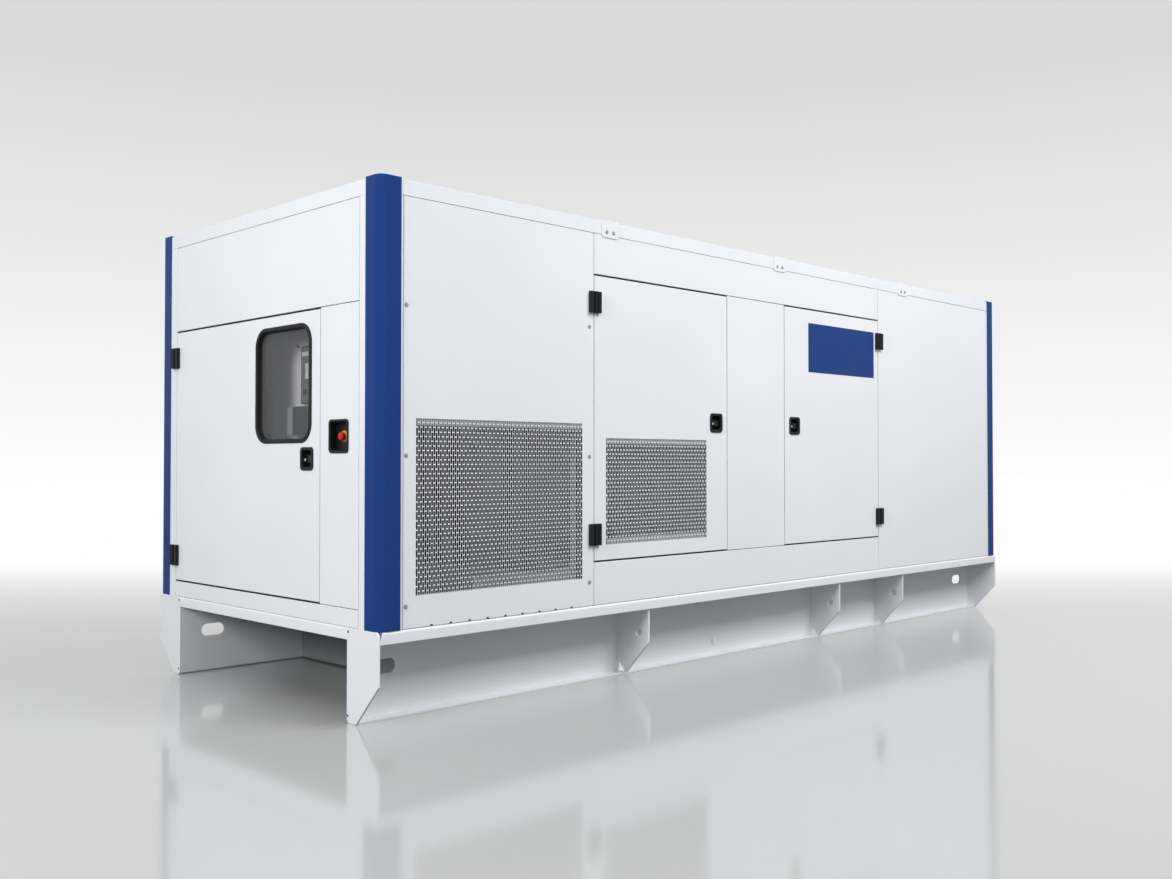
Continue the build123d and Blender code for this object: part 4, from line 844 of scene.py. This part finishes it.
def window_sweep(name, profile, finish, node, closed):
    """Sweeps a profile of insets and heights round the window; an open profile is closed by flat faces."""
    shape = bmesh.new()
    loops = [[shape.verts.new((-FACE_X - height, y, z)) for y, z in window_loop(inset, RING_CORNER - inset)]
             for inset, height in profile]
    for before, after in zip(loops, loops[1:] + loops[:1] if closed else loops[1:]):
        for step in range(len(before)):
            beside = (step + 1) % len(before)
            shape.faces.new([before[step], before[beside], after[beside], after[step]])
    if not closed:
        shape.faces.new(loops[0])
        shape.faces.new(loops[-1][::-1])
    bmesh.ops.recalc_face_normals(shape, faces=shape.faces)
    return eased_mesh(name, mesh_from(shape, name), 0, finish, body_of(node), slot_of(node), node)


DOOR_CUT_SPAN = (-2.70, -2.60)
cut_away(bpy.data.objects["end_door_shown"], "window_cutter", [window_loop(HOLE_INSET, HOLE_CORNER)],
         *DOOR_CUT_SPAN, "X")
window_sweep("window_ring", RING_PROFILE, rubber, "window_gasket", closed=True)
pane_glass = new_finish("tinted_pane", GLASS_TINT, Roughness=0.03, Alpha=0.16, IOR=1.5,
                        Specular_IOR_Level=0.3)
PANE_PROFILE = ((PANE_INSET + 0.0005, -0.017), (PANE_INSET, -0.0175), (PANE_INSET, -0.0225),
                (PANE_INSET + 0.0005, -0.023))
window_sweep("window_pane", PANE_PROFILE, pane_glass, "window_glass", closed=False)


# Emergency stop: a red mushroom button on a yellow disc, in a moulded black recess.
stop_red = new_finish("stop_red_plastic", (0.62, 0.010, 0.008), MOULDED, {"Roughness": 0.35},
                      Specular_IOR_Level=0.25)
stop_yellow = new_finish("stop_yellow_disc", (0.55, 0.34, 0.06), MOULDED, {"Roughness": 0.45})
BUTTON_EDGE = 0.0012
COLLAR_SIDES = 40
eased("stop_button", BUTTON_EDGE, stop_red, segments=3)
COLLAR_PROFILE = ((0.0084, 0.0), (0.0245, 0.0), (0.0245, 0.0034), (0.0238, 0.0040), (0.0084, 0.0040),
                  (0.0084, 0.0))
collar_low, collar_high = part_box("stop_collar")
collar_place = (collar_high.x, (collar_low.y + collar_high.y) / 2, (collar_low.z + collar_high.z) / 2)
collar = turned_pieces("stop_collar_shown", COLLAR_PROFILE, [collar_place], (-1, 0, 0), stop_yellow,
                       "enclosure", "yellow_plastic", sides=COLLAR_SIDES)
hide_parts("stop_collar")


# Key cylinders: a plated barrel with a key slot stands on the boss in each latch and stays below its rim.
KEY_PROFILE = ((0.0068, 0.0), (0.0068, 0.0030), (0.0060, 0.0036), (0.0042, 0.0036), (0.0040, 0.0026),
               (0.0, 0.0026))
KEY_SHIFT = (-0.020, -0.004)
KEY_DEPTH = 0.006
key_metal = new_finish("key_barrel_metal", (0.72, 0.72, 0.73), WORN_METAL, {"Roughness": 0.22}, Metallic=1.0)
for body, latch in (("front_door_1", LATCH_1), ("front_door_2", LATCH_2)):
    key_place = WALLS["front"](latch[0] + KEY_SHIFT[0], latch[1] + KEY_SHIFT[1], KEY_DEPTH)
    turned_pieces(body + "_key", KEY_PROFILE, [key_place], (0, -1, 0), key_metal, body, "core_metal")
key_place = WALLS["control_end"](END_LATCH[0] - KEY_SHIFT[0], END_LATCH[1] + KEY_SHIFT[1], KEY_DEPTH)
turned_pieces("end_door_key", KEY_PROFILE, [key_place], (-1, 0, 0), key_metal, "end_door", "core_metal")
key_places = [WALLS["rear"](u + KEY_SHIFT[0], z + KEY_SHIFT[1], KEY_DEPTH) for u, z in (LATCH_1, LATCH_2)]
turned_pieces("rear_keys", KEY_PROFILE, key_places, (0, 1, 0), key_metal, "enclosure", "core_metal")


# Control cabinet: a folded grey cabinet behind the window carries the control module and the switch box.
# Its pale grey is partly its own paint and partly painted light for the dim space behind the window.
# The module has a grey fascia in a black surround, with a pale display and a pale band above it.
# Partly painted light: the cabinet's grey is made paler to brighten the space behind the window.
cabinet_coat_with_painted_light = new_finish("cabinet_grey_coat_painted_light", (0.82, 0.82, 0.84), POWDER_COAT,
                          {"Roughness": 0.4, "Dust amount": 0.1})
fascia_grey = new_finish("fascia_grey_plastic", (0.13, 0.13, 0.135), MOULDED, {"Roughness": 0.5})
display_pale = new_finish("display_pale_pane", (0.80, 0.82, 0.80), MOULDED, {"Roughness": 0.2})
CABINET_EDGE = 0.003
MODULE_EDGE = 0.004
eased("control_cabinet", CABINET_EDGE, cabinet_coat_with_painted_light)
for part in ("control_module", "breaker_box"):
    eased(part, MODULE_EDGE, black_plastic)
module_low, module_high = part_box("control_module")
WALLS["module"] = lambda u, z, depth: Vector((module_low.x - depth, u, z))
FASCIA_EDGE = 0.008
FASCIA_THICKNESS, DISPLAY_THICKNESS, KEY_TOP = 0.003, 0.0015, 0.0055
KEY_EDGE = 0.0006
fascia = WallMesh("module", 0.0, FASCIA_THICKNESS)
fascia_spans = ((module_low.y + FASCIA_EDGE, module_high.y - FASCIA_EDGE),
                (module_low.z + FASCIA_EDGE, module_high.z - FASCIA_EDGE))
DISPLAY_SPANS = ((-0.240, -0.092), (1.440, 1.512))
BAND_SPANS = ((-0.316, -0.064), (1.546, 1.566))
KEY_FIRST, KEY_PITCH, KEY_WIDTH, KEY_COUNT = -0.290, 0.045, 0.028, 5
KEY_LEVELS = (1.366, 1.392)
fascia.slab(*fascia_spans, [DISPLAY_SPANS, BAND_SPANS])
fascia.finish("module_fascia", 0, fascia_grey, "enclosure", "grey_paint")
display = WallMesh("module", 0.0, DISPLAY_THICKNESS)
display.slab(*DISPLAY_SPANS, [])
display.slab(*BAND_SPANS, [])
display.finish("module_display", 0, display_pale, "enclosure", "white_paint")
keypad = WallMesh("module", FASCIA_THICKNESS, KEY_TOP)
for start in [KEY_FIRST + KEY_PITCH * step for step in range(KEY_COUNT)]:
    keypad.slab((start, start + KEY_WIDTH), KEY_LEVELS, [])
keypad.finish("module_keys", KEY_EDGE, black_plastic, "enclosure", "black_plastic")
CABINET_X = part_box("control_cabinet")[0].x
cabinet_low, cabinet_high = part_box("control_cabinet")
WALLS["cabinet_side"] = lambda u, z, depth: Vector((u, cabinet_low.y - depth, z))
WALLS["cabinet_back"] = lambda u, z, depth: Vector((cabinet_high.x + depth, u, z))
PAD_SIDE_INSET, PAD_END_INSET = 0.008, 0.010
for wall, (start, stop) in (("cabinet_side", (cabinet_low.x, cabinet_high.x)),
                            ("cabinet_back", (cabinet_low.y, cabinet_high.y))):
    pad = WallMesh(wall, CHEEK_THICKNESS, 0.0)
    pad.slab((start + PAD_SIDE_INSET, stop - PAD_SIDE_INSET),
             (cabinet_low.z + PAD_END_INSET, cabinet_high.z - PAD_END_INSET), [])
    pad.finish(wall + "_foam", 0, lining_foam, "enclosure", "rubber")
box_low, box_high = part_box("breaker_box")
WALLS["switch_box"] = lambda u, z, depth: Vector((box_low.x - depth, u, z))
FLANGE_THICKNESS, FLANGE_WIDTH, FLANGE_SIDE_INSET, FLANGE_END_INSET = 0.0015, 0.046, 0.001, 0.002
flange_strip = WallMesh("switch_box", 0.0, FLANGE_THICKNESS)
flange_strip.slab((box_high.y - FLANGE_WIDTH, box_high.y - FLANGE_SIDE_INSET),
                  (box_low.z + FLANGE_END_INSET, box_high.z - FLANGE_END_INSET), [])
flange_strip.finish("switch_box_strip", 0, deck_coat, "enclosure", "grey_paint")
KNOB_PROFILE = ((0.008, 0.0), (0.008, 0.004), (0.007, 0.010), (0.005, 0.011), (0.0, 0.011))
KNOB_PLACE = (CABINET_X, 0.002, 1.597)
turned_pieces("cabinet_knob", KNOB_PROFILE, [KNOB_PLACE], (-1, 0, 0), black_plastic,
              "enclosure", "black_plastic")


# Machinery: a cast grey engine and alternator on common skids, a finned radiator in a steel frame, and a
# pressed fan on the engine's shaft.
engine_coat = new_finish("engine_grey_coat", (0.055, 0.06, 0.065), POWDER_COAT,
                         {"Roughness": 0.5, "Peel": 0.8, "Dust amount": 0.3})
core_metal = new_finish("radiator_core", (0.20, 0.205, 0.21), WORN_METAL, {"Roughness": 0.5}, Metallic=0.6)
CASTING_EDGE = 0.004
CORE_EDGE = 0.003
FAN_EDGE = 0.001
for part in ("engine", "alternator"):
    eased(part, CASTING_EDGE, engine_coat)
eased("radiator", CORE_EDGE, core_metal)
eased("cooling_fan", FAN_EDGE, black_plastic)


# Studio: a pale glossy floor that fades to white far off, soft lamps, and a white room seen beyond. The
# camera sees the floor brighter than the light it gives back, and a painted shadow darkens it under the base.
FLOOR_SIZE = 120.0
FLOOR_ROUGHNESS = 0.10
FLOOR_IOR = 2.1
FLOOR_BOUNCE = (0.13, 0.131, 0.132, 1.0)
FLOOR_SEEN = (0.47, 0.47, 0.47, 1.0)
FLOOR_EVEN = (0.64, 0.64, 0.64, 1.0)
WHITE_LIGHT = (1.0, 1.0, 1.0, 1.0)
EVEN_SHARE = 0.24
FADE_BEHIND = (-1.5, 7.5)
FADE_ROUND = (6.0, 22.0)
PAINTED_SHADOW_HALF_WIDTHS = (1.05, 0.70)
PAINTED_SHADOW_HALF_LENGTHS = (2.3, 3.0)
bpy.ops.mesh.primitive_plane_add(size=FLOOR_SIZE, location=(0, 0, 0))
floor = bpy.context.object
floor.name = "studio_floor"
floor_finish = bpy.data.materials.new("studio_floor_lacquer")
floor_finish.use_nodes = True
tree = floor_finish.node_tree
surface = tree.nodes["Principled BSDF"]
surface.inputs["Roughness"].default_value = FLOOR_ROUGHNESS
surface.inputs["IOR"].default_value = FLOOR_IOR
seen = add_node(tree, "ShaderNodeLightPath").outputs["Is Camera Ray"]
tree.links.new(blend(tree, seen, FLOOR_BOUNCE, FLOOR_SEEN), surface.inputs["Base Color"])
# The floor fades to white behind the enclosure, and all round it further out.
place = object_place(tree)
parts = add_node(tree, "ShaderNodeSeparateXYZ", inputs={"Vector": place}).outputs
behind = ranged(tree, maths(tree, "ADD", parts["X"], parts["Y"]), *FADE_BEHIND, curve="SMOOTHSTEP")
length = add_node(tree, "ShaderNodeVectorMath", {"operation": "LENGTH"}, {"Vector": place}).outputs["Value"]
fade = maths(tree, "MAXIMUM", behind, ranged(tree, length, *FADE_ROUND, curve="SMOOTHSTEP"))
glow = add_node(tree, "ShaderNodeEmission", inputs={
    "Color": blend(tree, fade, FLOOR_EVEN, WHITE_LIGHT), "Strength": 1.0})
# Painted shadow: the floor's added tone is left out in a soft rectangle under the base, so the floor there
# reads darker.
off_x, off_y = (maths(tree, "ABSOLUTE", parts[axis]) for axis in ("X", "Y"))
across = ranged(tree, off_y, *PAINTED_SHADOW_HALF_WIDTHS, EVEN_SHARE, 0.0, "SMOOTHSTEP")
share_outside_painted_shadow = ranged(tree, off_x, *PAINTED_SHADOW_HALF_LENGTHS, across, EVEN_SHARE, "SMOOTHSTEP")
share = maths(tree, "MULTIPLY", ranged(tree, fade, 0.0, 1.0, share_outside_painted_shadow), seen)
mix = add_node(tree, "ShaderNodeMixShader", inputs={
    "Fac": share, 1: surface.outputs["BSDF"], 2: glow.outputs["Emission"]})
tree.links.new(mix.outputs["Shader"], tree.nodes["Material Output"].inputs["Surface"])
floor.data.materials.append(floor_finish)

ROOM_LIGHT_LOW = 0.28
ROOM_LIGHT_HIGH = 0.76
ROOM_LIGHT_COLOUR = (0.97, 0.985, 1.0, 1.0)
BACKDROP_FADE = 0.31
BACKDROP_LOW, BACKDROP_HIGH = 0.975, 0.70
room = bpy.data.worlds.new("studio_room")
bpy.context.scene.world = room
room.use_nodes = True
tree = room.node_tree
tree.nodes.clear()
place = add_node(tree, "ShaderNodeTexCoord").outputs["Generated"]
up = add_node(tree, "ShaderNodeSeparateXYZ", inputs={"Vector": place}).outputs["Z"]
seen = add_node(tree, "ShaderNodeLightPath").outputs
direct = maths(tree, "MAXIMUM", seen["Is Camera Ray"], seen["Is Glossy Ray"])
lighting = add_node(tree, "ShaderNodeBackground", inputs={
    "Color": ROOM_LIGHT_COLOUR, "Strength": ranged(tree, up, 0.0, 1.0, ROOM_LIGHT_LOW, ROOM_LIGHT_HIGH)})
backdrop = add_node(tree, "ShaderNodeBackground", inputs={
    "Color": WHITE_LIGHT, "Strength": ranged(tree, up, 0.0, BACKDROP_FADE, BACKDROP_LOW, BACKDROP_HIGH)})
mix = add_node(tree, "ShaderNodeMixShader", inputs={
    "Fac": maths(tree, "MAXIMUM", direct, seen["Is Transmission Ray"]),
    1: lighting.outputs["Background"], 2: backdrop.outputs["Background"]})
add_node(tree, "ShaderNodeOutputWorld", inputs={"Surface": mix.outputs["Shader"]})


def soft_lamp(name, place, target, size, power):
    """Hangs a large square lamp and aims it."""
    light = bpy.data.lights.new(name, "AREA")
    light.size = size
    light.energy = power
    lamp = bpy.data.objects.new(name, light)
    lamp.location = place
    lamp.rotation_euler = (Vector(target) - Vector(place)).to_track_quat("-Z", "Y").to_euler()
    lamp.visible_glossy = False
    bpy.context.scene.collection.objects.link(lamp)


soft_lamp("side_lamp", place=(0.9, -6.6, 7.0), target=(0.6, -0.5, 1.2), size=3.6, power=555.0)
soft_lamp("end_lamp", place=(-9.0, -2.0, 3.4), target=(-2.6, 0, 1.2), size=2.5, power=345.0)


# Camera: at eye level off the near corner, as the photograph was framed.
LENS_MM, SENSOR_MM = 35.30, 36.0
CAMERA_PLACE = (-5.2838, -4.7462, 1.0642)
CAMERA_TILT, CAMERA_TURN = math.radians(91.053), math.radians(-44.961)
camera_data = bpy.data.cameras.new("view_camera")
camera_data.lens = LENS_MM
camera_data.sensor_width = SENSOR_MM
camera = bpy.data.objects.new("view_camera", camera_data)
camera.location = CAMERA_PLACE
camera.rotation_euler = (CAMERA_TILT, 0.0, CAMERA_TURN)
bpy.context.scene.collection.objects.link(camera)
bpy.context.scene.camera = camera
bpy.context.scene.view_settings.view_transform = "Standard"
